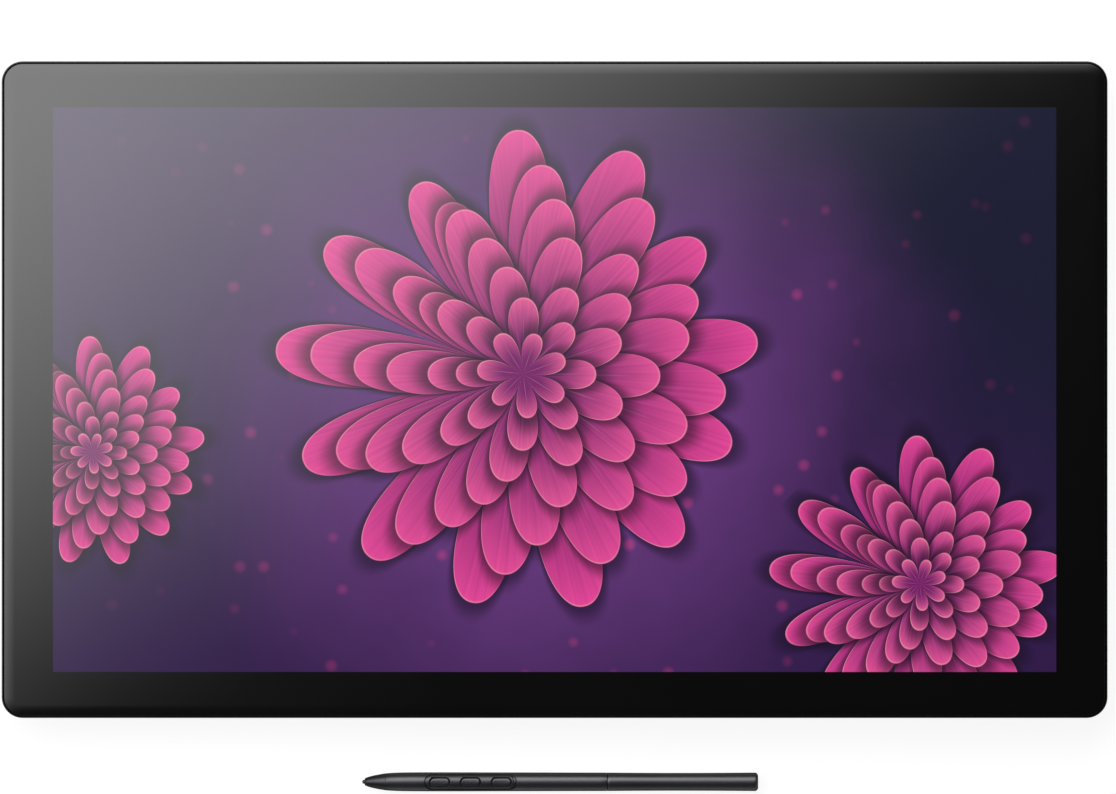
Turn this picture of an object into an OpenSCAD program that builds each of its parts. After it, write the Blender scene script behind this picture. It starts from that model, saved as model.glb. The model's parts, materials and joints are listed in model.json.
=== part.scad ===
// A pen display: a flat slate with a glass front that rests face up on a desk, and its pen lying before it.
// Millimetres. X runs along the long edge, Y towards the top edge of the screen and Z up from the desk.
// The origin is on the desk, at the middle of the footprint that the slate and the pen cover together.

/* [Screen] */
// Width of the picture
active_w = 382; // [345:1:430]
// Height of the picture
active_h = 215; // [195:1:242]
// Border of the slate to the left and right of the picture
side_border = 19.5; // [17.5:0.5:24]
// Border of the slate above and below the picture
end_border = 17.5; // [16:0.5:22]
// Border of the panel outside the picture
panel_border = 4; // [3:0.5:5]
// Thickness of the cover glass
glass_t = 1.4; // [1:0.1:1.8]
// Visible width of the frame's lip round the glass
lip_w = 0.85; // [0.6:0.05:1.4]
// How far the glass stands above the lip
glass_proud = 0.2; // [0.1:0.05:0.4]

/* [Slate] */
// Height of the glass above the desk
slate_t = 22; // [21.5:0.5:26]
// Radius of the slate's four corners
corner_r = 8; // [6:0.5:11]
// Wall of the rear cover
cover_wall = 2; // [1.6:0.1:2.4]
// How far the top and bottom edges slope in towards the back
edge_slope = 9; // [6:0.5:12]
// Radius where the sloping edges turn into the back
edge_r = 6; // [4:0.5:8]
// Height of the feet below the rear cover
foot_h = 1.8; // [1.4:0.1:2.4]
// Outer wall of the front frame
band_wall = 2; // [1.6:0.1:2.4]

/* [Grips and keys] */
// Width of the finger grip under each side
grip_w = 52; // [46:1:56]
// Depth of the grip's underside below the front frame
wing_depth = 4.5; // [4.3:0.1:5]
// Length of one key
key_l = 20; // [16:1:22]
// Width of one key
key_w = 9; // [7:0.5:10]
// Distance from one key to the next
key_pitch = 26; // [25:1:30]
// Distance of the row of keys from the slate's side
key_inset = 22.5; // [20:0.5:26]
// Travel of a key
key_travel = 0.4; // [0.2:0.1:0.5]

/* [Legs] */
// Length of a leg from its hinge to its tip
leg_len = 80; // [70:1:84]
// Width of a leg
leg_w = 28; // [22:1:30]
// Thickness of a leg
leg_t = 4.8; // [4.4:0.1:5.2]
// Radius of a leg's hinge pin
pin_r = 1.25; // [1:0.05:1.5]

/* [Wall mount] */
// Spacing of the four threaded holes in the back
vesa_pitch = 75; // [75:25:100]
// Radius of a threaded hole
vesa_r = 2; // [2:0.25:2.5]

/* [Cooling] */
// Side of a blower
fan_size = 46; // [42:1:47]
// Height of a blower
fan_h = 7; // [6:0.5:7.5]
// Blades on one blower's rotor
fan_blades = 19; // [11:2:23]
// Width of a slot in the vents
vent_slot = 2.2; // [1.6:0.2:2.8]

/* [Pen] */
// Length of the pen
pen_len = 151.4; // [146:0.2:160]
// Largest diameter of the pen
pen_d = 7.3; // [7.2:0.1:9]
// Distance between the slate's bottom edge and the pen
pen_gap = 21.3; // [10:0.1:40]
// How far the pen's middle lies to the right of the slate's middle
pen_offset = 2.1; // [-40:0.1:40]
// Length of the pen's nose, with its nib
nose_len = 9; // [8:0.5:10]
// Distance of the joint between barrel and tail from the tip
tail_joint = 93.6; // [90:0.2:100]
// Length of the plate that carries the side switches
plate_l = 34.4; // [34:0.2:37]
// Width of that plate
plate_w = 5.3; // [5.1:0.1:5.6]
// Length of one side switch
button_l = 7.1; // [6.4:0.1:8]
// Width of one side switch
button_w = 3; // [2.6:0.1:3.3]
// Distance from one side switch to the next
button_pitch = 11.8; // [11:0.1:12.4]
// Travel of a side switch
button_travel = 0.35; // [0.2:0.05:0.4]

/* [Clearances] */
// Gap round the glass in its frame
glass_gap = 0.15; // [0.1:0.05:0.3]
// Gap round pieces that are set into a window
fit_gap = 0.1; // [0.05:0.05:0.2]
// Gap round a key or button that moves
move_gap = 0.2; // [0.1:0.05:0.3]
// Radial gap of a pin or shaft that turns
run_gap = 0.05; // [0.02:0.01:0.08]

/* [Hidden] */
$fn = 48;

// Size of the slate round the picture
slate_w = active_w + 2 * side_border;
slate_h = active_h + 2 * end_border;

// Overlap that lets a cut pass its face
over = 1;
// Segments in the quarter circles of the profiles
arc_n = 8;

// Thickness of the layers behind the glass, from the front to the back
mask_t = 0.2;
touch_t = 0.2;
lcd_t = 1.2;
sheets_t = 0.7;
guide_t = 1.8;
tray_t = 0.4;
sensor_t = 0.6;
shield_t = 0.5;
deck_t = 1.5;
adhesive_t = 0.3;

// Heights of the layers' undersides, worked out from the glass downwards
z_glass = slate_t - glass_t;
z_mask = z_glass - mask_t;
z_touch = z_mask - touch_t;
z_lcd = z_touch - lcd_t;
z_sheets = z_lcd - sheets_t;
z_guide = z_sheets - guide_t;
z_tray = z_guide - tray_t;
z_sensor = z_tray - sensor_t;
z_shield = z_sensor - shield_t;
z_deck = z_shield - deck_t;
z_ledge = z_mask - adhesive_t;
z_rim = slate_t - glass_proud;

// Heights of the rear cover: its outer back, its inner floor and the underside of the grips
z_back = foot_h;
z_floor = z_back + cover_wall;
z_wing = z_deck - wing_depth;

// Place of the slate and of the pen in the footprint
slate_y = (pen_gap + pen_d) / 2;
pen_y = slate_y - slate_h / 2 - pen_gap - pen_d / 2;
pen_x = pen_offset - pen_len / 2;

// Glass, panel and the pocket that holds the panel
glass_size = [slate_w - 2 * (lip_w + glass_gap), slate_h - 2 * (lip_w + glass_gap)];
glass_r = corner_r - lip_w - glass_gap;
rim_chamfer = 0.4;
glass_chamfer = 0.3;
mask_inset = 0.3;
film_margin = 1;
panel_r = 1;
lcd_size = [active_w + 2 * panel_border, active_h + 2 * panel_border];
tray_wall = 0.5;
tray_margin = 2;
tray_size = lcd_size + 2 * (tray_margin + tray_wall) * [1, 1];
pocket_gap = 1;
pocket_size = tray_size + 2 * pocket_gap * [1, 1];
pocket_r = 2;
pocket_wall = 1.5;
board_play = 0.4;
led_bar_w = 2.4;
led_bar_margin = 6;
adhesive_inset = 1;
adhesive_in = 0.6;

// Groove in the frame's underside and the lip of the cover that locates in it
groove_top = z_ledge - pocket_wall;
groove_out = [slate_w, slate_h] - 2 * band_wall * [1, 1];
groove_in = pocket_size + 2 * pocket_wall * [1, 1];
locating_lip_t = 1.2;
locating_lip_h = 1;

// Plateau of the back and the radii of its step up to the grips
plateau_x = slate_w / 2 - grip_w;
plateau_r = 2.6;
grip_r = 3;

// Legs, folded into pockets of the back
leg_side = 40;
leg_x = plateau_x - leg_side;
leg_inset = 0.4;
leg_gap = 0.4;
hinge_inset = 25;
hinge_y = slate_h / 2 - hinge_inset;
hinge_z = z_back + leg_inset + leg_t / 2;
leg_top_gap = 0.6;
heel_l = 3.7;
heel_r = norm([heel_l, leg_t / 2]);
pocket_lid = 1.5;
leg_pocket_top = hinge_z + leg_t / 2 + leg_top_gap;
leg_pocket_end = hinge_y + heel_r + leg_gap;
finger_notch = 12;
leg_pocket_start = hinge_y - leg_len - finger_notch;
lug_t = 4;
lug_reach = 4.6;
pin_bite = 3;
tip_l = 8;
tongue_t = 2.4;
tongue_l = 6;
leg_end_r = 4;
leg_rib = 4;
leg_skin = 2;
leg_solid = 14;
hollow_r = 2;

// Screws that hold the cover to the frame
screw_side = 13;
screw_x = plateau_x - screw_side;
screw_low = 22;
screw_low_y = -(slate_h / 2 - screw_low);
screw_places = [[-screw_x, hinge_y], [screw_x, hinge_y], [-screw_x, (hinge_y + screw_low_y) / 2],
    [screw_x, (hinge_y + screw_low_y) / 2], [-screw_x, screw_low_y], [screw_x, screw_low_y],
    [-screw_x / 3, screw_low_y], [screw_x / 3, screw_low_y]];
screw_r = 1.25;
screw_head_r = 2.4;
screw_head_h = 1.6;
screw_well_r = 2.8;
screw_well = 4.2;
screw_seat = z_back + screw_well;
socket_r = 1.1;
socket_h = 0.9;
boss_r = 3.6;
boss_h = 2.2;
z_boss = z_deck - boss_h;
screw_bite = 0.8;
screw_tip = z_deck + screw_bite;

// Feet
foot_recess = 0.6;
foot_w = 7;
foot_inset = 19;
foot_low_l = 70;
foot_top_l = 40;
foot_y = slate_h / 2 - foot_inset;

// Mount for a stand or an arm
insert_r = 4;
insert_h = 8;
vesa_boss_r = 6.5;
vesa_boss_h = 4;
bracket_t = 1.5;
bracket_margin = 10;
bracket_r = 5;

// Keys
key_x = slate_w / 2 - key_inset;
key_ys = [for (i = [0:3]) (1.5 - i) * key_pitch];
key_proud = 0.5;
key_chamfer = 0.4;
key_flange = 1;
key_flange_t = 0.8;
key_stem_r = 1.5;
key_board_t = 0.8;
bezel_margin = 3.5;
bezel_lip = 2;
bezel_lip_t = 0.8;
bezel_size = [key_w + 2 * bezel_margin, 3 * key_pitch + key_l + 2 * bezel_margin];
bezel_r = 3;
key_board_margin = 2;
key_board_r = 1;

// Power button on the top edge
power_side = 60;
power_x = slate_w / 2 - power_side;
power_z = (z_deck + locating_lip_h + groove_top) / 2;
power_l = 12;
power_w = 2.8;
power_sunk = 0.1;
power_travel = 0.4;
power_flange = 0.4;
power_flange_t = 0.8;
power_board_t = 0.8;
power_switch_h = 1.5;
power_switch_w = 3.2;
power_stem_r = 0.8;

// Cooling
fan_side = 6.5;
fan_top = 28;
fan_x = leg_x - leg_w / 2 - fan_side - fan_size / 2;
fan_y = slate_h / 2 - fan_top - fan_size / 2;
fan_z = z_deck - fan_h;
fan_plate = 0.8;
rotor_gap = 1.5;
rotor_inset = 5.5;
rotor_r = fan_size / 2 - rotor_inset;
hub_r = 8;
inlet_r = 13;
shaft_r = 1;
bearing_r = 2.4;
bearing_h = 3;
rotor_lift = 0.4;
rotor_top = 0.6;
rotor_h = fan_h - 2 * fan_plate - rotor_lift - rotor_top;
fan_r = 4;
blade_root = 0.5;
blade_t = 0.6;
blade_sweep = 32;
vent_inset = 1;
vent_size = fan_size - 2 * vent_inset;
vent_lip = 2;
vent_lip_t = 0.8;
vent_count = 9;
vent_margin = 4;
sink_l = 12;
sink_gap = 0.3;
sink_inset = 2;
sink_w = fan_size - 2 * sink_inset;
fin_t = 0.5;
fin_pitch = 2.2;
sink_base = 1;
exhaust_lift = 1.2;
exhaust_z = z_floor + exhaust_lift;
exhaust_h = 6;
exhaust_frame = 1;
exhaust_depth = 15;
exhaust_count = 9;
pipe_w = 6;
pipe_t = 1.6;
pipe_z = fan_z - pipe_t;

// Main board and its connectors
io_w = 84;
io_depth = 12;
io_y = slate_h / 2 - io_depth;
io_wall = 1.6;
io_lid = 1.5;
io_ledge = 2;
bracket_plate_t = 1.4;
board_gap = 1.2;
board_t = 1.2;
board_h = 66;
board_side = 4;
board_w = 2 * (fan_x - fan_size / 2 - board_side);
board_r = 2;
board_hole_side = 5;
board_hole_end = 8;
board_boss_r = 2.5;
z_board = z_deck - board_gap - board_t;
board_top_y = io_y - bracket_plate_t - io_wall - fit_gap;
block_size = 30;
block_y = board_top_y - board_h / 2;
block_r = 2;
chip_size = 18;
chip_t = 1;
memory_size = [10, 14, 1.2];
header_size = [24, 5, 2];
header_drop = 24;
pipe_lead = 6;
pipe_end_inset = 4;
pipe_run = 12;
hdmi_size = [15, 5.8, 11.5];
hdmi_r = 1;
hdmi_tongue = [11.2, 1];
hdmi_x = -26;
usb_size = [9, 3.3, 8];
usb_r = 1.6;
usb_tongue = [6.6, 0.7];
usb_xs = [4, 24];
shell_t = 0.4;
tongue_inset = 1.5;
lock_size = [6.5, 2.8];
lock_side = 30;
lock_x = -(plateau_x - lock_side);

// Pen: radii of its outline and of its bores
nose_step = 0.4;
nose_seam_r = pen_d / 2 - nose_step;
nose_power = 0.41;
nose_start = 1;
shoulder = 4;
grip_l = 25;
grip_end = nose_len + grip_l;
tail_seam_step = 0.13;
tail_end_step = 0.15;
tail_waist_step = 0.21;
tail_seam_r = pen_d / 2 - tail_seam_step;
tail_end_r = pen_d / 2 - tail_end_step;
tail_waist_r = pen_d / 2 - tail_waist_step;
tail_waist = 15;
tail_flare = 6;
tail_round = 1.3;
bore_r = 2.75;
nib_r = 0.8;
nib_gap = 0.12;
nib_travel = 0.5;
nose_lead = 2;
nose_taper = 0.6;
inner_gap = 0.5;
coil_lead = 1.5;
coil_start = nose_len + coil_lead;
coil_l = 8.5;
coil_core_r = 2.1;
coil_end = 1;
sensor_start = coil_start + coil_l + inner_gap;
sensor_l = 4.5;
nib_bite = 0.8;
nib_end = sensor_start + nib_bite;
plate_lead = 32.5;
plate_mid = nose_len + plate_lead;
plate_z = 0.6;
seam_gap = 0.5;
button_gap = 0.5;
button_proud = 0.12;
button_base = 0.8;
button_flange = 0.7;
button_flange_t = 0.7;
button_dot_r = 0.6;
button_dot_sink = 0.35;
latch_r = 3.2;
latch_inset = 0.8;
latch_line = 0.3;
latch_depth = 0.25;
pen_board_z = -0.5;
pen_board_t = 0.6;
pen_board_w = 4.6;
pen_board_start = sensor_start + sensor_l + inner_gap;
pen_board_clear = 10;
pen_board_end = tail_joint - pen_board_clear;
pen_switch_size = [3.2, 2.6];
carrier_wall = 0.85;
coupler_r = 2.65;
coupler_wall = 0.8;
coupler_l = 14;
coupler_bite = 7;
tail_gap = 0.25;
weight_r = 2.4;
weight_l = 16;
weight_start = pen_len - tail_round - weight_l - tail_flare;

// Points of an arc about a centre
function arc(centre, r, from, to) = [for (i = [0:arc_n])
    let(a = from + (to - from) * i / arc_n) centre + r * [cos(a), sin(a)]];

// Points mirrored to the other side and taken in reverse, to close an outline
function mirrored(points) = [for (i = [len(points) - 1:-1:0]) [-points[i][0], points[i][1]]];

// Cross-section of the rear cover across its width: plateau, step and grip, moved in by a wall
function width_profile(inset, top) = let(half = concat(
    arc([plateau_x - plateau_r, z_back + plateau_r], plateau_r - inset, -90, 0),
    arc([plateau_x + grip_r, z_wing - grip_r], grip_r + inset, 180, 90),
    arc([slate_w / 2 - wing_depth, z_deck], wing_depth - inset, -90, 0),
    [[slate_w / 2 - inset, z_deck + top]])) concat(half, mirrored(half));

// Cross-section of the rear cover across its depth: flat back and sloping edges, moved in by a wall
slope_angle = atan2(z_deck - z_back, edge_slope);
function depth_profile(inset, top) = let(
    centre = [slate_h / 2 - edge_slope - edge_r * tan(slope_angle / 2), z_back + edge_r],
    side = slate_h / 2 - inset / sin(slope_angle),
    half = concat(arc(centre, edge_r - inset, -90, slope_angle - 90), [[side, z_deck], [side, z_deck + top]]))
    concat(half, mirrored(half));

// Outer radius of the pen's nose and barrel at a distance from the tip
function nose_radius(u) = nose_seam_r * pow(u / nose_len, nose_power);
function grip_radius(u) = pen_d / 2 - nose_step * exp(-(u - nose_len) / shoulder);
function barrel_radius(u) = u < grip_end ? grip_radius(u)
    : grip_radius(grip_end) + (tail_seam_r - grip_radius(grip_end)) * (u - grip_end) / (tail_joint - grip_end);

module rounded_rect(size, r) {
    square([size[0] - 2 * r, size[1]], center = true);
    square([size[0], size[1] - 2 * r], center = true);
    for (x = [-1, 1], y = [-1, 1])
        translate([x * (size[0] / 2 - r), y * (size[1] / 2 - r)]) circle(r);
}

module stadium(length, width) {
    square([length - width, width], center = true);
    for (x = [-1, 1]) translate([x * (length - width) / 2, 0]) circle(width / 2);
}

module slab(size, r, z, t) {
    translate([0, 0, z]) linear_extrude(t) rounded_rect(size, r);
}

// A flat ring between two rounded rectangles
module ring(outer, outer_r, inner, inner_r, z, t) {
    difference() {
        slab(outer, outer_r, z, t);
        slab(inner, inner_r, z - over, t + 2 * over);
    }
}

// A slab whose upper edge has a chamfer: flat flanks between cones at the corners
module chamfered_slab(size, r, z, t, c) {
    slab(size, r, z, t - c);
    translate([0, 0, z + t - c]) {
        for (x = [-1, 1], y = [-1, 1])
            translate([x * (size[0] / 2 - r), y * (size[1] / 2 - r), 0])
                cylinder(r1 = r, r2 = r - c, h = c);
        rotate([90, 0, 0]) linear_extrude(size[1] - 2 * r, center = true) chamfer_profile(size[0], c);
        rotate([90, 0, 90]) linear_extrude(size[0] - 2 * r, center = true) chamfer_profile(size[1], c);
    }
}

// Profile of the chamfered upper edge, with a foot that reaches into the slab below
module chamfer_profile(width, c) {
    half = width / 2;
    polygon([[-half, -c], [half, -c], [half, 0], [half - c, c], [-half + c, c], [-half, 0]]);
}

// A stadium block whose lower edge has a chamfer, with its length along Y
module chamfered_key(length, width, z, t, c) {
    translate([0, 0, z + c]) rotate(90) linear_extrude(t - c) stadium(length, width);
    translate([0, 0, z]) {
        for (y = [-1, 1])
            translate([0, y * (length - width) / 2, 0])
                cylinder(r1 = width / 2 - c, r2 = width / 2, h = c);
        rotate([90, 0, 0]) linear_extrude(length - width, center = true)
            polygon([[-width / 2 + c, 0], [width / 2 - c, 0], [width / 2, c], [-width / 2, c]]);
    }
}

// Puts a piece of the slate, or of the pen, at its place on the desk; the pen lies along X, tip to the left
module on_slate() translate([0, slate_y, 0]) children();
module on_pen() translate([pen_x, pen_y, pen_d / 2]) children();

// Both sides of the slate, the left one a mirror image of the right
module both_sides() {
    children();
    mirror([1, 0, 0]) children();
}

// Revolves an outline of [radius, distance from the tip] points about the pen's axis
module revolved(points) rotate([0, 90, 0]) rotate_extrude() polygon(points);

// A round bar along the pen's axis
module pen_bar(r, from, to) translate([from, 0, 0]) rotate([0, 90, 0]) cylinder(r = r, h = to - from);

// Front stack

module cover_glass() color("#23242a", 0.45) on_slate()
    chamfered_slab(glass_size, glass_r, z_glass, glass_t, glass_chamfer);

module border_mask() color("#0a0a0b") on_slate()
    difference() {
        slab(glass_size - 2 * mask_inset * [1, 1], glass_r - mask_inset, z_mask, mask_t);
        translate([-active_w / 2, -active_h / 2, z_mask - over])
            cube([active_w, active_h, mask_t + 2 * over]);
    }

// Clear film, with the bonding layer that fills the window of the border
module touch_sensor() color("#9fb4c8", 0.3) on_slate() {
    translate([-active_w / 2, -active_h / 2, z_mask]) cube([active_w, active_h, mask_t]);
    slab(lcd_size + 2 * film_margin * [1, 1], pocket_r, z_touch, touch_t);
}

module lcd_panel() color("#4a2a66") on_slate()
    slab(lcd_size, panel_r, z_lcd, lcd_t);

module diffuser_sheets() color("#f1f1ee") on_slate()
    slab(lcd_size, panel_r, z_sheets, sheets_t);

tray_inner = tray_size - 2 * tray_wall * [1, 1];
module light_guide() color("#dfe8ea", 0.6) on_slate()
    translate([0, led_bar_w / 2, 0])
        slab(tray_inner - [2 * fit_gap, led_bar_w + 2 * fit_gap], pocket_r, z_guide, guide_t);

module led_bar() color("#f4f2dc") on_slate()
    translate([-tray_inner[0] / 2 + led_bar_margin, -tray_inner[1] / 2, z_guide])
        cube([tray_inner[0] - 2 * led_bar_margin, led_bar_w - fit_gap, guide_t]);

module panel_tray() color("#b9bcc0") on_slate()
    difference() {
        slab(tray_size, pocket_r, z_tray, z_touch - fit_gap - z_tray);
        slab(tray_inner, pocket_r - tray_wall, z_guide, slate_t);
    }

module digitizer_board() color("#1f5a3a") on_slate()
    slab(pocket_size - 2 * board_play * [1, 1], pocket_r, z_sensor, sensor_t);

module shield_plate() color("#9a9da1") on_slate()
    slab(pocket_size - 2 * board_play * [1, 1], pocket_r, z_shield, shield_t);

module glass_adhesive() color("#2c2c2c") on_slate()
    ring(glass_size - 2 * adhesive_inset * [1, 1], glass_r - adhesive_inset,
        pocket_size + 2 * adhesive_in * [1, 1], pocket_r + adhesive_in, z_ledge, adhesive_t);

// Front frame: a band with a lip round the glass, a ledge, a pocket for the panel and a deck behind it
deck_pitch = pocket_size[0] / 5;
deck_window = [pocket_size[0] / 6, pocket_size[1] * 0.3];
deck_window_r = 6;
deck_window_y = -pocket_size[1] * 0.22;
module front_frame() color("#0d0d0e") on_slate()
    difference() {
        union() {
            chamfered_slab([slate_w, slate_h], corner_r, z_deck, z_rim - z_deck, rim_chamfer);
            for (p = screw_places) translate([p[0], p[1], z_boss]) cylinder(r = boss_r, h = boss_h);
            for (p = board_holes) translate([p[0], p[1], z_deck - board_gap])
                cylinder(r = board_boss_r, h = board_gap);
        }
        slab(glass_size + 2 * glass_gap * [1, 1], glass_r + glass_gap, z_ledge, slate_t);
        slab(pocket_size, pocket_r, z_shield, slate_t);
        ring(groove_out, corner_r - band_wall, groove_in, pocket_r + pocket_wall, z_deck - over,
            groove_top - z_deck + over);
        for (i = [-1.5:1.5]) translate([i * deck_pitch, deck_window_y, 0])
            slab(deck_window, deck_window_r, z_deck - over, deck_t + 2 * over);
        for (p = screw_places) translate([p[0], p[1], z_boss - over]) cylinder(r = screw_r, h = slate_t);
        for (p = board_holes) translate([p[0], p[1], 0]) cylinder(r = screw_r, h = z_deck);
        power_hole();
    }

// Rear cover

module cover_block(inset, top) {
    intersection() {
        linear_extrude(z_deck + top)
            rounded_rect([slate_w, slate_h] - 2 * inset * [1, 1], corner_r - inset);
        rotate([90, 0, 0]) linear_extrude(slate_h + 2 * over, center = true)
            polygon(width_profile(inset, top));
        rotate([90, 0, 90]) linear_extrude(slate_w + 2 * over, center = true)
            polygon(depth_profile(inset, top));
    }
}

// Space that a folded leg takes, grown by a margin, with the notch for a finger
module leg_pocket(margin, from, to) {
    translate([leg_x - leg_w / 2 - leg_gap - margin, leg_pocket_start - margin, from])
        cube([leg_w + 2 * (leg_gap + margin), leg_pocket_end - leg_pocket_start + 2 * margin, to - from]);
}

module leg_lugs() {
    translate([leg_x - leg_w / 2 - leg_gap - lug_t, hinge_y - lug_reach, z_back])
        cube([leg_w + 2 * (leg_gap + lug_t), 2 * lug_reach, leg_pocket_top + pocket_lid - z_back]);
}

module io_recess() {
    translate([-io_w / 2, io_y - bracket_plate_t, z_floor])
        cube([io_w, slate_h, z_deck - io_lid - z_floor]);
    translate([-io_w / 2, io_y, 0]) cube([io_w, slate_h, z_floor + over]);
    translate([-io_w / 2 + io_ledge, io_y - bracket_plate_t - io_wall - over, z_floor])
        cube([io_w - 2 * io_ledge, slate_h, z_deck - io_lid - z_floor]);
}

module rear_cover() color("#141416") on_slate()
    difference() {
        union() {
            difference() {
                cover_block(0, 0);
                cover_block(cover_wall, over);
            }
            locating_lip();
            both_sides() {
                leg_pocket(pocket_lid, z_back, leg_pocket_top + pocket_lid);
                leg_lugs();
            }
            intersection() {
                cover_block(0, 0);
                translate([-io_w / 2 - io_wall, io_y - bracket_plate_t - io_wall, z_back])
                    cube([io_w + 2 * io_wall, slate_h, z_deck - z_back]);
            }
            for (p = screw_places) translate([p[0], p[1], z_back])
                cylinder(r = boss_r, h = z_boss - z_back);
            vesa_places() translate([0, 0, z_back])
                cylinder(r = vesa_boss_r, h = z_floor - z_back + vesa_boss_h);
        }
        both_sides() {
            leg_pocket(0, 0, leg_pocket_top);
            translate([leg_x, hinge_y, hinge_z]) rotate([0, 90, 0])
                cylinder(r = pin_r, h = leg_w + 2 * (leg_gap + pin_bite), center = true);
            translate([key_x, 0, 0])
                slab(bezel_size + 2 * fit_gap * [1, 1], bezel_r + fit_gap, 0, z_deck - over);
            translate([fan_x, fan_y, 0])
                slab((vent_size + 2 * fit_gap) * [1, 1], fan_r, 0, z_floor + over);
            exhaust_window(fit_gap);
        }
        io_recess();
        for (p = screw_places) translate([p[0], p[1], 0]) {
            cylinder(r = screw_well_r, h = screw_seat);
            cylinder(r = screw_r + move_gap, h = z_deck);
        }
        vesa_places() cylinder(r = insert_r, h = z_deck);
        feet(fit_gap);
        translate([lock_x, slate_h / 2, (z_back + z_deck) / 2]) rotate([90, 0, 0])
            linear_extrude(exhaust_depth) stadium(lock_size[0], lock_size[1]);
    }

// Upright lip on the cover's edge that locates it in the frame's groove
module locating_lip() {
    lip_size = groove_out - 2 * fit_gap * [1, 1];
    lip_r = corner_r - band_wall - fit_gap;
    ring(lip_size, lip_r, lip_size - 2 * locating_lip_t * [1, 1], lip_r - locating_lip_t,
        z_deck - locating_lip_h / 2, locating_lip_h * 1.5);
}

// Finger grips: a strip set into each grip carries the keys

module key_bezels() color("#1b1b1d") on_slate() both_sides() translate([key_x, 0, 0])
    difference() {
        union() {
            slab(bezel_size, bezel_r, z_wing, cover_wall);
            slab(bezel_size + 2 * bezel_lip * [1, 1], bezel_r + bezel_lip, z_wing + cover_wall, bezel_lip_t);
        }
        for (y = key_ys) translate([0, y, 0]) rotate(90)
            linear_extrude(slate_t) stadium(key_l + 2 * move_gap, key_w + 2 * move_gap);
        slab(bezel_size - (2 * fit_gap + bezel_lip) * [1, 1], bezel_r - fit_gap, z_wing + cover_wall, slate_t);
    }

key_flange_z = z_wing + cover_wall + fit_gap;
key_stem_top = z_deck - key_board_t - key_travel - fit_gap;
module key(side, i) color("#242427") on_slate() translate([side * key_x, key_ys[i], 0]) {
    chamfered_key(key_l, key_w, z_wing - key_proud, key_flange_z - z_wing + key_proud, key_chamfer);
    translate([0, 0, key_flange_z]) rotate(90) linear_extrude(key_flange_t)
        stadium(key_l + 2 * key_flange, key_w + 2 * key_flange);
    translate([0, 0, key_flange_z]) cylinder(r = key_stem_r, h = key_stem_top - key_flange_z);
}

module key_boards() color("#1d4f33") on_slate() both_sides() translate([key_x, 0, 0])
    slab([key_w + 2 * key_board_margin, bezel_size[1] - 2 * key_board_margin], key_board_r,
        z_deck - key_board_t, key_board_t);

// Hole for the power button through the band on the top edge
module power_hole() translate([power_x, slate_h / 2 - 2 * band_wall, power_z]) rotate([-90, 0, 0])
    linear_extrude(2 * band_wall + over) stadium(power_l + 2 * move_gap, power_w + 2 * move_gap);

power_wall_y = slate_h / 2 - band_wall;
power_switch_y = groove_in[1] / 2 + power_board_t + power_switch_h;
module power_button() color("#2a2a2d") on_slate() translate([power_x, 0, power_z]) rotate([-90, 0, 0]) {
    translate([0, 0, power_wall_y - fit_gap - power_flange_t])
        linear_extrude(slate_h / 2 - power_sunk - power_wall_y + fit_gap + power_flange_t)
            stadium(power_l, power_w);
    translate([0, 0, power_wall_y - fit_gap - power_flange_t]) linear_extrude(power_flange_t)
        stadium(power_l + 2 * power_flange + 2 * move_gap, power_w + 2 * power_flange);
    translate([0, 0, power_switch_y + power_travel + fit_gap])
        cylinder(r = power_stem_r, h = power_wall_y - fit_gap - power_switch_y - power_travel - fit_gap);
}

module power_switch() color("#1d4f33") on_slate() translate([power_x, groove_in[1] / 2, power_z]) {
    translate([-power_l / 2, 0, -power_w / 2]) cube([power_l, power_board_t, power_w]);
    translate([-power_switch_w / 2, 0, -power_w / 2])
        cube([power_switch_w, power_board_t + power_switch_h, power_w]);
}

// Mount for a stand or an arm

module vesa_places() for (x = [-1, 1], y = [-1, 1])
    translate([x * vesa_pitch / 2, y * vesa_pitch / 2, 0]) children();

module vesa_inserts() color("#b08d4a") on_slate() vesa_places()
    difference() {
        translate([0, 0, z_back]) cylinder(r = insert_r, h = insert_h);
        cylinder(r = vesa_r, h = slate_t);
    }

module vesa_bracket() color("#8f9296") on_slate()
    difference() {
        slab((vesa_pitch + 2 * bracket_margin) * [1, 1], bracket_r, z_floor + vesa_boss_h, bracket_t);
        vesa_places() cylinder(r = insert_r + fit_gap, h = slate_t);
        slab((vesa_pitch - 2 * bracket_margin) * [1, 1], bracket_r, 0, slate_t);
    }

// Fasteners and feet

module cover_screws() color("#3a3a3c") on_slate() for (p = screw_places) translate([p[0], p[1], 0])
    difference() {
        union() {
            translate([0, 0, screw_seat - screw_head_h]) cylinder(r = screw_head_r, h = screw_head_h);
            translate([0, 0, screw_seat - over / 2])
                cylinder(r = screw_r, h = screw_tip - screw_seat + over / 2);
        }
        translate([0, 0, screw_seat - screw_head_h - over])
            cylinder(r = socket_r, h = over + socket_h, $fn = 6);
    }

// The four feet, or the recesses for them, grown by a gap
module feet(gap) both_sides() linear_extrude(z_back + foot_recess) {
    translate([0.6 * plateau_x, -foot_y]) stadium(foot_low_l + 2 * gap, foot_w + 2 * gap);
    translate([fan_x, foot_y]) stadium(foot_top_l + 2 * gap, foot_w + 2 * gap);
}

module rubber_feet() color("#101010") on_slate() feet(0);

// Legs: a bar with a heel behind the hinge that meets the pocket's lid when the leg is open

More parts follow.
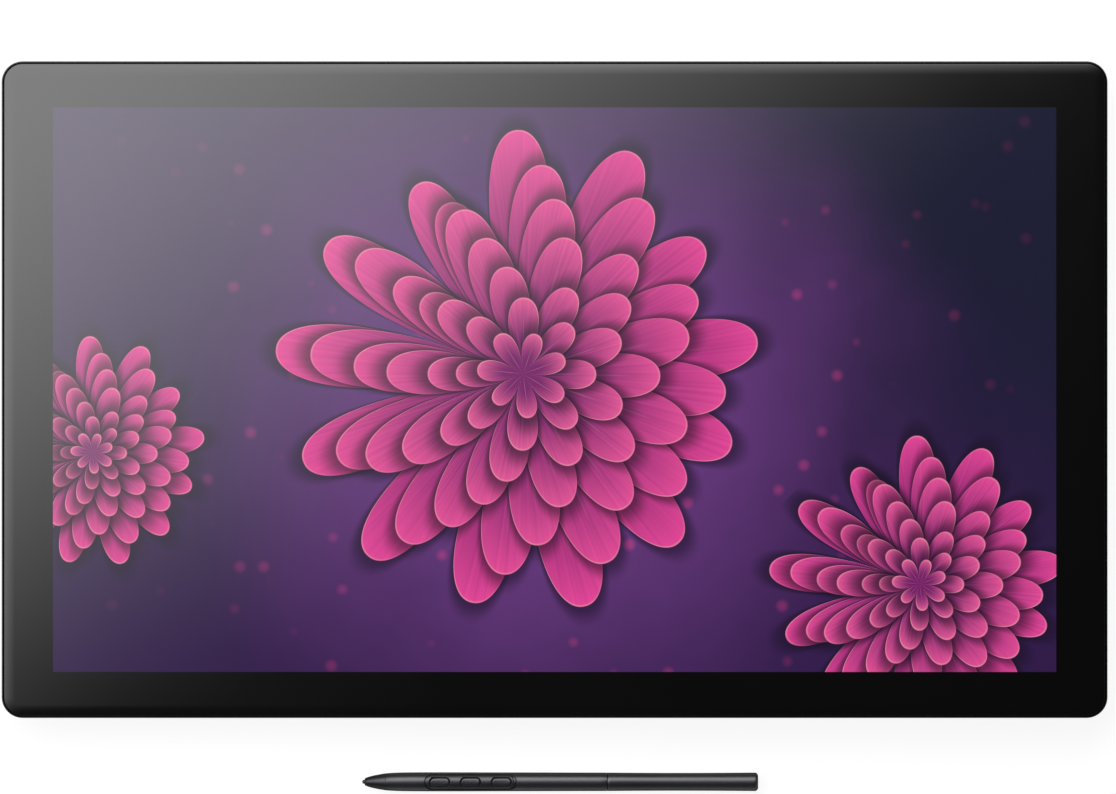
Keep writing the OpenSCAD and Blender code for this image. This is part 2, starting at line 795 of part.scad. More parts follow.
module leg(side) color("#18181a") on_slate() translate([side * leg_x, hinge_y, hinge_z])
    difference() {
        union() {
            rotate([0, 90, 0]) cylinder(r = leg_t / 2, h = leg_w, center = true);
            translate([-leg_w / 2, -leg_len + tip_l, -leg_t / 2])
                cube([leg_w, leg_len - tip_l, leg_t]);
            translate([-leg_w / 2, -leg_len + tip_l - tongue_l, -tongue_t / 2])
                cube([leg_w, tongue_l + over, tongue_t]);
            rotate([90, 0, 90]) linear_extrude(leg_w, center = true)
                polygon([[0, -leg_t / 2], [heel_l, -leg_t / 2], leg_t / 2 * [cos(45), sin(45)], [0, 0]]);
        }
        rotate([0, 90, 0]) cylinder(r = pin_r + run_gap, h = leg_w + 2 * over, center = true);
        // Hollows between the ribs of the inner face
        for (x = [-1, 1]) translate([x * leg_w / 4, -leg_len / 2, 0])
            slab([leg_w / 2 - leg_rib, leg_len - 2 * leg_solid], hollow_r, leg_skin - leg_t / 2, leg_t);
    }

module leg_tip(side) color("#0e0e0e") on_slate() translate([side * leg_x, hinge_y - leg_len, hinge_z])
    difference() {
        translate([0, 0, -leg_t / 2]) linear_extrude(leg_t) leg_tip_outline();
        translate([-leg_w / 2 - over, tip_l - tongue_l, -tongue_t / 2])
            cube([leg_w + 2 * over, tongue_l + over, tongue_t]);
    }

module leg_tip_outline() {
    translate([-leg_w / 2 + leg_end_r, 0]) square([leg_w - 2 * leg_end_r, tip_l]);
    translate([-leg_w / 2, leg_end_r]) square([leg_w, tip_l - leg_end_r]);
    for (x = [-1, 1]) translate([x * (leg_w / 2 - leg_end_r), leg_end_r]) circle(leg_end_r);
}

module leg_pins() color("#c9ccd0") on_slate() both_sides() translate([leg_x, hinge_y, hinge_z])
    rotate([0, 90, 0]) cylinder(r = pin_r, h = leg_w + 2 * (leg_gap + pin_bite) - 2 * fit_gap, center = true);

// Vents

vent_pitch = (vent_size - 2 * vent_margin) / (vent_count - 1);
module vent_grilles() color("#1a1a1c") on_slate() both_sides() translate([fan_x, fan_y, 0])
    difference() {
        union() {
            slab([vent_size, vent_size], fan_r - fit_gap, z_back, cover_wall);
            slab((vent_size + 2 * vent_lip) * [1, 1], fan_r, z_floor, vent_lip_t);
        }
        for (i = [0:vent_count - 1]) translate([0, (i - (vent_count - 1) / 2) * vent_pitch, 0])
            linear_extrude(slate_t) stadium(vent_size - 2 * vent_margin, vent_slot);
    }

// Opening in the sloping top edge, taken in by a gap
module exhaust_window(gap) translate([fan_x - sink_w / 2 - gap, slate_h / 2 - exhaust_depth, exhaust_z - gap])
    cube([sink_w + 2 * gap, 2 * exhaust_depth, exhaust_h + 2 * gap]);

exhaust_pitch = sink_w / (exhaust_count + 1);
module exhaust_grilles() color("#1a1a1c") on_slate() both_sides()
    difference() {
        intersection() {
            difference() {
                cover_block(0, 0);
                cover_block(cover_wall, over);
            }
            exhaust_window(0);
        }
        for (i = [1:exhaust_count])
            translate([fan_x - sink_w / 2 + i * exhaust_pitch - vent_slot / 2, 0, exhaust_z + exhaust_frame])
                cube([vent_slot, slate_h, exhaust_h - 2 * exhaust_frame]);
    }

// Cooling

module fan_housings() color("#202022") on_slate() both_sides() translate([fan_x, fan_y, fan_z])
    difference() {
        union() {
            difference() {
                slab([fan_size, fan_size], fan_r, 0, fan_h);
                translate([0, 0, fan_plate]) cylinder(r = rotor_r + rotor_gap, h = fan_h - 2 * fan_plate);
                translate([-rotor_r, 0, fan_plate]) cube([2 * rotor_r, fan_size, fan_h - 2 * fan_plate]);
            }
            translate([0, 0, fan_h - fan_plate - bearing_h])
                cylinder(r = bearing_r, h = bearing_h + fan_plate / 2);
        }
        translate([0, 0, -over]) cylinder(r = inlet_r, h = fan_plate + 2 * over);
        translate([0, 0, fan_h - fan_plate - bearing_h - over])
            cylinder(r = shaft_r + run_gap, h = bearing_h + over);
    }

// A blade curves back from the hub to the rim
function blade_point(r, side) = let(a = blade_sweep * pow((r - hub_r) / (rotor_r - hub_r), 1.3))
    r * [cos(a), sin(a)] + side * blade_t / 2 * [-sin(a), cos(a)];
blade_radii = [for (i = [0:4]) hub_r + (rotor_r - hub_r) * i / 4];
module blade() polygon(concat([[hub_r - blade_root, -blade_t / 2]], [for (r = blade_radii) blade_point(r, -1)],
    [for (i = [4:-1:0]) blade_point(blade_radii[i], 1)], [[hub_r - blade_root, blade_t / 2]]));

module fan_rotor(side) color("#2b2b2e") on_slate()
    translate([side * fan_x, fan_y, fan_z + fan_plate + rotor_lift]) {
        difference() {
            union() {
                cylinder(r = hub_r, h = rotor_h);
                for (i = [0:fan_blades - 1]) rotate(i * 360 / fan_blades) linear_extrude(rotor_h) blade();
            }
            translate([0, 0, rotor_lift + over]) cylinder(r = bearing_r + rotor_lift, h = rotor_h);
        }
        cylinder(r = shaft_r, h = fan_h - 2 * fan_plate - 2 * rotor_lift);
    }

fin_count = floor((sink_w - fin_t) / fin_pitch) + 1;
module heat_sinks() color("#c3a27a") on_slate() both_sides()
    translate([fan_x - sink_w / 2, fan_y + fan_size / 2 + sink_gap, fan_z]) {
        cube([sink_w, sink_l, sink_base]);
        for (i = [0:fin_count - 1])
            translate([i * (sink_w - fin_t) / (fin_count - 1), 0, 0]) cube([fin_t, sink_l, fan_h]);
    }

// Flattened pipe from the processor's block to both heat sinks: its middle line rises in an S on each side
pipe_y = fan_y + fan_size / 2 + sink_gap + sink_l / 2;
pipe_end = fan_x + sink_w / 2 - pipe_end_inset;
pipe_bend = [block_size / 2 + pipe_lead, fan_x - fan_size / 2 + pipe_run];
pipe_n = 48;
function smooth(t) = t * t * (3 - 2 * t);
function pipe_rise(x) = smooth(min(max((abs(x) - pipe_bend[0]) / (pipe_bend[1] - pipe_bend[0]), 0), 1));
function pipe_middle(x) = [x, block_y + (pipe_y - block_y) * pipe_rise(x)];
function pipe_side(x, side) = let(step = pipe_middle(x + 0.1) - pipe_middle(x - 0.1))
    pipe_middle(x) + side * pipe_w / 2 * [-step[1], step[0]] / norm(step);
pipe_xs = [for (i = [-pipe_n:pipe_n]) pipe_end * i / pipe_n];
module heat_pipe() color("#b87333") on_slate() {
    translate([0, 0, pipe_z]) linear_extrude(pipe_t)
        polygon(concat([for (x = pipe_xs) pipe_side(x, -1)],
            [for (i = [2 * pipe_n:-1:0]) pipe_side(pipe_xs[i], 1)]));
    translate([0, block_y, 0])
        slab([block_size, block_size], block_r, pipe_z + pipe_t / 2, z_board - chip_t - pipe_z - pipe_t / 2);
}

// Main board and connectors

board_holes = [for (x = [-1, 1], y = [-1, 1]) [x * (board_w / 2 - board_hole_side),
    board_top_y - board_h / 2 + y * (board_h / 2 - board_hole_end)]];
module main_board() color("#1c4a34") on_slate()
    difference() {
        union() {
            translate([0, board_top_y - board_h / 2, 0]) slab([board_w, board_h], board_r, z_board, board_t);
            translate([0, block_y, 0]) slab([chip_size, chip_size], panel_r, z_board - chip_t, chip_t);
            both_sides() translate([board_w / 3, block_y - memory_size[1], z_board - memory_size[2]])
                cube(memory_size);
            translate([-header_size[0] / 2, block_y - header_drop, z_board - header_size[2]]) cube(header_size);
        }
        for (p = board_holes) translate([p[0], p[1], z_board - over])
            cylinder(r = screw_r + move_gap, h = board_t + 2 * over);
    }

// A connector: a shell open at its mouth, with a tongue inside
module connector(size, r, tongue) {
    difference() {
        slab([size[0], size[1]], r, 0, size[2]);
        slab([size[0] - 2 * shell_t, size[1] - 2 * shell_t], r - shell_t, 2 * shell_t, size[2]);
    }
    translate([-tongue[0] / 2, -tongue[1] / 2, shell_t]) cube([tongue[0], tongue[1], size[2] - tongue_inset]);
}

// Turns a connector so that its mouth meets the bracket's outer face, under the board
module port_place(x, size) translate([x, io_y - size[2], z_board - size[1] / 2]) rotate([-90, 0, 0])
    children();

module usb_c_ports() color("#b5b8bc") on_slate() for (x = usb_xs)
    port_place(x, usb_size) connector(usb_size, usb_r, usb_tongue);

module hdmi_port() color("#a8abaf") on_slate()
    port_place(hdmi_x, hdmi_size) connector(hdmi_size, hdmi_r, hdmi_tongue);

module io_bracket() color("#2a2a2c") on_slate()
    difference() {
        translate([-io_w / 2 + fit_gap, io_y - bracket_plate_t, z_floor + fit_gap])
            cube([io_w - 2 * fit_gap, bracket_plate_t, z_deck - io_lid - z_floor - 2 * fit_gap]);
        for (x = usb_xs) port_place(x, usb_size) port_hole(usb_size, usb_r);
        port_place(hdmi_x, hdmi_size) port_hole(hdmi_size, hdmi_r);
    }

module port_hole(size, r) slab([size[0], size[1]] + 2 * fit_gap * [1, 1], r + fit_gap, 0, slate_t);

// Pen

nose_points = [for (i = [0:8]) let(u = nose_start + (nose_len - nose_start) * i / 8) [nose_radius(u), u]];
module pen_nose() color("#1a1a1b") on_pen()
    revolved(concat([[nib_r + nib_gap, nose_start]], nose_points, [[bore_r, nose_len],
        [bore_r - nose_taper, nose_len - nose_lead], [nib_r + nib_gap, nose_len - 2 * nose_lead]]));

module pen_nib() color("#2a2a2a") on_pen() {
    pen_bar(nib_r, nib_r, nib_end);
    translate([nib_r, 0, 0]) sphere(r = nib_r);
}

barrel_us = [for (i = [0:7]) nose_len + (grip_end - nose_len) * pow(i / 7, 2)];
function barrel_points(grow) = concat([for (u = barrel_us) [barrel_radius(u) + grow, u]],
    [[barrel_radius(tail_joint) + grow, tail_joint]]);

// Stadium cutter above the pen's axis, with its length along the pen
module pen_window(mid, length, width, z) translate([mid, 0, z]) linear_extrude(pen_d) stadium(length, width);

module pen_barrel() color("#2b2b2b") on_pen()
    difference() {
        revolved(concat(barrel_points(0), [[bore_r, tail_joint], [bore_r, nose_len]]));
        pen_window(plate_mid, plate_l + 2 * seam_gap, plate_w + 2 * seam_gap, plate_z);
    }

module pen_switch_plate() color("#262626") on_pen()
    difference() {
        intersection() {
            revolved(concat(barrel_points(0), [[bore_r, tail_joint], [bore_r, nose_len]]));
            pen_window(plate_mid, plate_l, plate_w, plate_z);
        }
        for (i = [-1:1])
            pen_window(plate_mid + i * button_pitch, button_l + 2 * button_gap, button_w + 2 * button_gap, 0);
        latch_groove();
    }

// Shallow arc across the plate's rear end, where the plate unlatches
module latch_groove() difference() {
    intersection() {
        translate([plate_mid + plate_l / 2 - latch_inset - latch_r, 0, 0]) linear_extrude(pen_d) difference() {
            circle(latch_r + latch_line / 2);
            circle(latch_r - latch_line / 2);
        }
        translate([plate_mid + plate_l / 2 - latch_r, -pen_d / 2, 0]) cube(pen_d);
    }
    revolved(concat([[0, nose_len]], barrel_points(-latch_depth), [[0, tail_joint]]));
}

module pen_button(i) color("#303030") on_pen() {
    intersection() {
        revolved(concat([[0, nose_len]], barrel_points(button_proud), [[0, tail_joint]]));
        pen_window(plate_mid + i * button_pitch, button_l, button_w, button_base);
    }
    translate([plate_mid + i * button_pitch, 0, button_base]) linear_extrude(button_flange_t)
        stadium(button_l + 2 * button_flange, button_w + 2 * button_flange);
    if (i == 0) translate([plate_mid, 0, pen_d / 2 - button_dot_sink]) sphere(r = button_dot_r);
}

module pen_coil() color("#7a4a2a") on_pen()
    difference() {
        union() {
            pen_bar(coil_core_r, coil_start, coil_start + coil_l);
            pen_bar(bore_r - run_gap, coil_start + coil_end, coil_start + coil_l - coil_end);
        }
        pen_bar(nib_r + nib_gap, coil_start - over, coil_start + coil_l + over);
    }

module pen_pressure_sensor() color("#8a8d90") on_pen()
    difference() {
        pen_bar(bore_r - run_gap, sensor_start, sensor_start + sensor_l);
        pen_bar(nib_r + nib_gap, sensor_start - over, nib_end + nib_travel + fit_gap);
    }

// Half shell under the board
module pen_carrier() color("#3c3c3e") on_pen()
    difference() {
        pen_bar(bore_r - run_gap, pen_board_start, pen_board_end);
        pen_bar(bore_r - run_gap - carrier_wall, pen_board_start - over, pen_board_end + over);
        translate([0, -pen_d, pen_board_z]) cube([pen_len, 2 * pen_d, pen_d]);
    }

module pen_board() color("#1d5236") on_pen() {
    translate([pen_board_start, -pen_board_w / 2, pen_board_z])
        cube([pen_board_end - pen_board_start, pen_board_w, pen_board_t]);
    for (i = [-1:1])
        translate([plate_mid + i * button_pitch - pen_switch_size[0] / 2, -pen_switch_size[1] / 2, pen_board_z])
            cube(concat(pen_switch_size, button_base - button_travel - fit_gap - pen_board_z));
}

// Threaded sleeve that joins the tail to the barrel
module pen_coupler() color("#77797c") on_pen()
    difference() {
        union() {
            pen_bar(bore_r, tail_joint - coupler_bite, tail_joint);
            pen_bar(coupler_r, tail_joint - over, tail_joint - coupler_bite + coupler_l);
        }
        pen_bar(coupler_r - coupler_wall, tail_joint - coupler_bite - over, tail_joint + coupler_l);
    }

tail_start = tail_joint + tail_gap;
tail_points = concat([[barrel_radius(tail_joint), tail_start], [tail_waist_r, pen_len - tail_waist],
    [tail_end_r, pen_len - tail_flare]],
    arc([tail_end_r - tail_round, pen_len - tail_round], tail_round, 0, 75), [[0, pen_len]]);
module pen_tail() color("#2b2b2b") on_pen()
    difference() {
        revolved(concat([[0, tail_start]], tail_points));
        pen_bar(bore_r, tail_start - over, weight_start);
        pen_bar(weight_r, weight_start - over, weight_start + weight_l);
    }

module pen_weight() color("#a58a4c") on_pen() pen_bar(weight_r, weight_start, weight_start + weight_l);

cover_glass();
border_mask();
touch_sensor();
lcd_panel();
diffuser_sheets();
light_guide();
led_bar();
panel_tray();
digitizer_board();
shield_plate();
glass_adhesive();
front_frame();
rear_cover();
key_bezels();
key(-1, 0);  // key_left_1
key(-1, 1);  // key_left_2
key(-1, 2);  // key_left_3
key(-1, 3);  // key_left_4
key(1, 0);  // key_right_1
key(1, 1);  // key_right_2
key(1, 2);  // key_right_3
key(1, 3);  // key_right_4
key_boards();
power_button();
power_switch();
vesa_inserts();
vesa_bracket();
cover_screws();
rubber_feet();
leg(-1);  // leg_left
leg(1);  // leg_right
leg_pins();
leg_tip(-1);  // leg_tip_left
leg_tip(1);  // leg_tip_right
vent_grilles();
exhaust_grilles();
io_bracket();
main_board();
usb_c_ports();
hdmi_port();
fan_housings();
fan_rotor(-1);  // fan_rotor_left
fan_rotor(1);  // fan_rotor_right
heat_sinks();
heat_pipe();
pen_nose();
pen_nib();
pen_coil();
pen_pressure_sensor();
pen_carrier();
pen_board();
pen_barrel();
pen_switch_plate();
pen_button(-1);  // pen_button_front
pen_button(0);  // pen_button_middle
pen_button(1);  // pen_button_rear
pen_coupler();
pen_tail();
pen_weight();
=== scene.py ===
"""A pen display with its pen: surfaces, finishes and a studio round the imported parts.

Lengths are metres in the parts' own frame: X along the long edge, Y to the top edge of the screen, Z up.
"""

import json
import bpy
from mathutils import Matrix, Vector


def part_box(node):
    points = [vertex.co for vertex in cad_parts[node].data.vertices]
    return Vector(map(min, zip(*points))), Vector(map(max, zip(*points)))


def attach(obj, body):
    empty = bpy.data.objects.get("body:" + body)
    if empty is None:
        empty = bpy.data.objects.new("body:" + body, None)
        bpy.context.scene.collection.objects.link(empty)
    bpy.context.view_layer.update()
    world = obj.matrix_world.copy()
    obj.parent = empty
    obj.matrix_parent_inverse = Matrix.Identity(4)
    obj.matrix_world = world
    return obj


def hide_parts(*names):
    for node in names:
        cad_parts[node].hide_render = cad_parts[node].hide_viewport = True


bl_info = {
    "name": "Pen display",
    "version": (1, 0, 0),
    "blender": (4, 5, 0),
    "location": "View3D > Sidebar > Pen display",
    "description": "Builds the fine surfaces, finishes and studio of a pen display and its pen",
    "category": "Object",
}

from functools import partialmethod, wraps

import bmesh
import bpy
import numpy as np
from bpy.props import FloatProperty, FloatVectorProperty, PointerProperty
from bpy.types import Operator, Panel, PropertyGroup

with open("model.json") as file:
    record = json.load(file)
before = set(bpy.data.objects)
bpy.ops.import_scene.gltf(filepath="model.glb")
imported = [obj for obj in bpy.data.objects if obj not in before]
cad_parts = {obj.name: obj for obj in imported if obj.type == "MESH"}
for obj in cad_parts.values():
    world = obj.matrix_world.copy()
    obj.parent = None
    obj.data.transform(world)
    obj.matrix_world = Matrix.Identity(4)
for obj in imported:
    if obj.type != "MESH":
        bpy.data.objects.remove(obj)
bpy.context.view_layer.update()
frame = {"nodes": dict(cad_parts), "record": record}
MM = 0.001
# Distances within which points are merged: where skins meet, and in the copy of a node's mesh.
MERGE, WELD = 0.0002 * MM, 0.001 * MM
# Slack when places are compared.
TINY = 1e-9
SLOT_OF = {part["node"]: part["material_slot"] for part in frame["record"]["subparts"]}
BODY_OF = {node: body for body, nodes in frame["record"]["behaviour"]["bodies"].items() for node in nodes}


def span(node):
    """Lowest and highest corner of a node as arrays."""
    low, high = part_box(node)
    return np.array(low), np.array(high)


GLASS_LOW, GLASS_HIGH = span("cover_glass")
FRAME_LOW, FRAME_HIGH = span("front_frame")
NIB_LOW, NIB_HIGH = span("pen_nib")
SLATE_MIDDLE = (GLASS_LOW + GLASS_HIGH) / 2 * [1, 1, 0]
PEN_TIP = np.array([NIB_LOW[0], *(NIB_LOW + NIB_HIGH)[1:] / 2])


def quantity(name, description, default, **options):
    """Float property; the options go on to Blender."""
    return FloatProperty(name=name, description=description, default=default, **options)


def length(name, description, default):
    """Float property in metres."""
    return quantity(name, description, default, unit="LENGTH", precision=5)


def tint(name, description, code):
    """Colour property whose default is written as a six-digit code of display values."""
    return FloatVectorProperty(name=name, description=description, default=linear(code)[:3], subtype="COLOR")


def linear(code):
    """Linear colour of a six-digit code: the usual display curve undone, channel by channel."""
    values = np.array([int(code[i:i + 2], 16) for i in (0, 2, 4)]) / 255
    values = np.where(values < 0.04045, values / 12.92, ((values + 0.055) / 1.055) ** 2.4)
    return (*values.tolist(), 1.0)


class ScreenSettings(PropertyGroup):
    """The bonded screen and the picture on it."""

    picture_width: length("Picture width", "Width of the lit picture", 382 * MM)
    picture_height: length("Picture height", "Height of the lit picture", 215 * MM)
    edge: length("Glass edge", "Radius of the rounding along the edge of the glass", 0.18 * MM)
    roughness: quantity("Etching", "Roughness of the etched glass", 0.13, min=0.0, max=1.0, subtype="FACTOR")
    ink: tint("Ink", "Printed border behind the glass", "070708")
    glow: tint("Glow", "Lightest part of the picture's ground", "6a3a80")
    ground: tint("Ground", "Darker part of the picture's ground", "301848")
    night: tint("Night", "Bluish part of the picture's ground", "181832")
    petal_tip: tint("Petal tip", "Outer end of a petal", "ee4a9c")
    petal_root: tint("Petal root", "Inner end of a petal", "741c66")
    petal_edge: tint("Petal edge", "Thin light edge of a petal", "f7a9b0")


class CasingSettings(PropertyGroup):
    """The frame, the rear cover and what is set into them."""

    edge: length("Moulded edge", "Radius of the rounding on moulded edges", 0.25 * MM)
    rim_round: length("Rim rounding", "Radius of the rounding outside the rim", 0.36 * MM)
    key_dish: length("Key dish", "Depth of the hollow in a key", 0.3 * MM)
    thread: length("Thread depth", "Depth of the thread in the mounting inserts", 0.22 * MM)
    frame_black: tint("Frame", "Satin black of the front frame", "0d0d0e")
    cover_black: tint("Cover", "Fine-grained black of the rear cover", "1d1d1f")


class PenSettings(PropertyGroup):
    """Outline of the pen, measured along its axis from the tip."""

    diameter: length("Diameter", "Largest diameter", 7.3 * MM)
    nose: length("Nose", "Length of the nose with its nib", 9 * MM)
    grip: length("Grip end", "Where the easing shoulder ends", 34 * MM)
    joint: length("Joint", "Where barrel and tail meet", 93.6 * MM)
    total: length("Length", "Length of the pen", 151.4 * MM)
    plate_middle: length("Plate middle", "Middle of the switch plate", 41.5 * MM)
    plate_length: length("Plate length", "Length of the switch plate", 34.4 * MM)
    plate_width: length("Plate width", "Width of the switch plate", 5.3 * MM)
    button_length: length("Button length", "Length of a side switch", 7.1 * MM)
    button_width: length("Button width", "Width of a side switch", 3 * MM)
    button_pitch: length("Button pitch", "Distance from one side switch to the next", 11.8 * MM)
    seam: length("Seam", "Gap round the plate and round each side switch", 0.5 * MM)
    edge: length("Edge", "Radius of the rounding along the seams", 0.14 * MM)
    charcoal: tint("Charcoal", "Satin lacquer of the body", "555558")
    trim: tint("Trim", "Satin lacquer of nose, plate and side switches", "4f4f52")


class StageSettings(PropertyGroup):
    """Camera, lamp and floor."""

    camera_height: length("Camera height", "Height of the camera above the glass", 4.0)
    view_width: length("View width", "Width of the view at the glass", 424.8 * MM)
    view_x: length("View x", "Middle of the view from the slate's middle, to the right", 1.3 * MM)
    view_y: length("View y", "Middle of the view from the slate's middle, upwards", -2.8 * MM)
    lamp_height: length("Lamp height", "Height of the soft lamp above the glass", 0.9)
    lamp_depth: length("Lamp depth", "Size of the lamp across its near edge", 0.95)
    lamp_soft: length("Lamp soft edge", "Width of the fading at the lamp's near edge", 0.31)
    lamp_width: length("Lamp width", "Size of the lamp along its near edge", 2.0)
    lamp_edge: length("Lamp edge", "Where the fading shows in the glass, from the view's middle", 106 * MM)
    lamp_turn: quantity("Lamp turn", "Turn of the lamp about the upright axis", np.radians(35.7), subtype="ANGLE")
    lamp_radiance: quantity("Lamp radiance", "Brightness of the lamp's face", 3.7)
    horizon: quantity("Horizon", "Fill light from the sides", 0.34)
    zenith: quantity("Zenith", "Fill light from above", 0.018)
    back: quantity("Back", "Fill light from behind the lamp", 0.6)


# Surfaces

def rect_rings(rows, middle, steps):
    """Rings of rounded rectangles, one above the other.

    A row holds half width, half depth, corner radius and height. Each corner is a quarter circle about a
    point moved in from both sides by the radius, so the ring runs anticlockwise seen from above.
    """
    half_x, half_y, radius, height = np.asarray(rows, float).T[:, :, None]
    angle = np.tile(np.linspace(0, np.pi / 2, steps), 4) + np.repeat(np.arange(4) * np.pi / 2, steps)
    x = np.repeat([1, -1, -1, 1], steps) * (half_x - radius) + radius * np.cos(angle)
    y = np.repeat([1, 1, -1, -1], steps) * (half_y - radius) + radius * np.sin(angle)
    return np.stack([x, y, np.broadcast_to(height, x.shape)], -1) + middle


def inset_rows(half_x, half_y, radius, profile):
    """Rows for rect_rings from (inset, height) points: sides and corner radius shrink by the inset."""
    inset, height = np.asarray(profile, float).T
    return np.stack([half_x - inset, half_y - inset, np.maximum(radius - inset, 0), height], 1)


def rounding(radius, steps):
    """Quarter round as (inset, rise): from the side wall, rise 0, over to the face, rise = radius."""
    turn = np.linspace(0, np.pi / 2, steps)
    return radius * np.stack([1 - np.cos(turn), np.sin(turn)], 1)


def top_edge(level, radius, steps):
    """(inset, height) points from the side wall over a quarter round to a top face at the level."""
    return rounding(radius, steps) + [0, level - radius]


def low_edge(level, radius, steps):
    """(inset, height) points from an underside at the level over a quarter round to the side wall."""
    return rounding(radius, steps)[::-1] * [1, -1] + [0, level + radius]


def turned_rings(profile, steps=72):
    """Rings of a turned shape about the pen's axis from (distance from the tip, radius) points."""
    along, radius = np.asarray(profile, float).T[:, :, None]
    turn = np.arange(steps) / steps * 2 * np.pi
    rings = [np.broadcast_to(along, (len(along), steps)), radius * np.cos(turn), radius * np.sin(turn)]
    return np.stack(rings, -1) + PEN_TIP


def skin(grid, round_columns=True, round_rows=False, first_cap=False, last_cap=False):
    """Points and faces of a grid: one quad between each point, its neighbours in the row and in the next row."""
    rows, columns = grid.shape[:2]
    index = np.arange(rows * columns).reshape(rows, columns)
    here = index if round_columns else index[:, :-1]
    beside = np.roll(index, -1, 1) if round_columns else index[:, 1:]
    last = rows if round_rows else rows - 1
    quads = [here[:last], beside[:last], np.roll(beside, -1, 0)[:last], np.roll(here, -1, 0)[:last]]
    faces = np.stack(quads, -1).reshape(-1, 4).tolist()
    if first_cap:
        faces.append(index[0, ::-1].tolist())
    if last_cap:
        faces.append(index[-1].tolist())
    return grid.reshape(-1, 3), faces


def solid(rings):
    """Closed skin of stacked rings, with a cap at both ends."""
    return skin(rings, first_cap=True, last_cap=True)


def shade(mesh, angle=38):
    """Smooth shading with creases where two faces meet at more than the angle, in degrees."""
    mesh.shade_smooth()
    mesh.set_sharp_from_angle(angle=np.radians(angle))


def mesh_of(name, points, faces):
    """New mesh of points and faces."""
    mesh = bpy.data.meshes.new(name)
    mesh.from_pydata(np.asarray(points).tolist(), [], faces)
    return mesh


def add_object(name, data):
    """New object of the data, in the scene."""
    thing = bpy.data.objects.new(name, data)
    bpy.context.scene.collection.objects.link(thing)
    return thing


def dress(mesh, slot):
    """Gives a mesh the finish of a slot."""
    mesh.materials.clear()
    mesh.materials.append(finish(slot))


def put_piece(name, skins, *nodes):
    """Makes one object of several skins, merges their seams and turns the faces outwards, in place of the nodes."""
    starts = np.cumsum([0] + [len(points) for points, _ in skins])
    points = np.concatenate([points for points, _ in skins])
    faces = [[i + start for i in face] for start, (_, group) in zip(starts, skins) for face in group]
    mesh = mesh_of(name, points, faces)
    work = bmesh.new()
    work.from_mesh(mesh)
    bmesh.ops.remove_doubles(work, verts=work.verts, dist=MERGE)
    bmesh.ops.dissolve_degenerate(work, edges=work.edges, dist=MERGE)
    bmesh.ops.recalc_face_normals(work, faces=work.faces)
    work.to_mesh(mesh)
    work.free()
    shade(mesh)
    return enter(name, mesh, *nodes)


def enter(name, mesh, *nodes):
    """Puts a mesh into the scene in place of nodes, on the body and with the finish of the first one."""
    slot = SLOT_OF[nodes[0]]
    piece = add_object(name, mesh)
    dress(mesh, slot)
    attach(piece, BODY_OF[nodes[0]])
    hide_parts(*nodes)
    return piece


# Angles between faces: up to the first they are joined, from the second their edge is rounded.
FLAT_ANGLE, ROUNDED_ANGLE = np.radians(0.4), np.radians(32)
MOULDING_CREASE = 50


def put_moulding(node, edge, segments=2, joined=True):
    """Stands for a node with a merged copy of its mesh whose edges are rounded; flat faces may be joined first."""
    mesh = frame["nodes"][node].data.copy()
    mesh.name = node + "_moulding"
    work = bmesh.new()
    work.from_mesh(mesh)
    bmesh.ops.remove_doubles(work, verts=work.verts, dist=WELD)
    if joined:
        bmesh.ops.dissolve_limit(work, angle_limit=FLAT_ANGLE, verts=work.verts, edges=work.edges)
    work.to_mesh(mesh)
    work.free()
    piece = enter(node + "_moulding", mesh, node)
    shade(mesh, MOULDING_CREASE)
    soften = piece.modifiers.new("Rounded edges", "BEVEL")
    soften.width = edge
    soften.segments = segments
    soften.limit_method = "ANGLE"
    soften.angle_limit = ROUNDED_ANGLE
    soften.miter_outer = "MITER_ARC"
    even = piece.modifiers.new("Even shading", "WEIGHTED_NORMAL")
    even.keep_sharp = True


# Shader nodes

class Signal:
    """What an output of a shader node carries. Arithmetic with signals adds Math nodes to their tree."""

    def __init__(self, socket):
        self.socket = socket
        self.tree = socket.id_data

    def math(self, operation, other=0.0):
        """Result of a Math node on this signal and another signal or a number."""
        return signal_of(self.tree, "Math", 0, {0: self, 1: other}, operation=operation)

    def __rsub__(self, other):
        return self * -1.0 + other

    __add__ = partialmethod(math, "ADD")
    __sub__ = partialmethod(math, "SUBTRACT")
    __mul__ = partialmethod(math, "MULTIPLY")
    __truediv__ = partialmethod(math, "DIVIDE")
    __pow__ = partialmethod(math, "POWER")
    __abs__ = partialmethod(math, "ABSOLUTE")


def give(node, values):
    """Sets or links a node's inputs, named or numbered."""
    for key, value in values.items():
        if isinstance(value, Signal):
            value.tree.links.new(value.socket, node.inputs[key])
        else:
            node.inputs[key].default_value = value


def add_node(tree, kind, inputs=None, **settings):
    """Adds a shader node with its settings and its inputs."""
    node = tree.nodes.new("ShaderNode" + kind)
    for key, value in settings.items():
        setattr(node, key, value)
    give(node, inputs or {})
    return node


def signal_of(tree, kind, output, inputs=None, **settings):
    """One output of a new shader node."""
    return Signal(add_node(tree, kind, inputs, **settings).outputs[output])


def signals(node):
    """All outputs of a node by name."""
    return {socket.name: Signal(socket) for socket in node.outputs}


def graded(value, low, high, to_low=0.0, to_high=1.0, kind="LINEAR"):
    """A value's range carried over to another range."""
    inputs = {0: value, 1: low, 2: high, 3: to_low, 4: to_high}
    return signal_of(value.tree, "MapRange", 0, inputs, interpolation_type=kind)


def mixed(amount, under, over):
    """Colour between two colours; at least one of the three is a signal."""
    tree = next(value.tree for value in (amount, under, over) if isinstance(value, Signal))
    return signal_of(tree, "Mix", 2, {0: amount, 6: under, 7: over}, data_type="RGBA")


def layered(amount, under, over):
    """Shader between two shaders."""
    return signal_of(under.tree, "MixShader", 0, {0: amount, 1: under, 2: over})


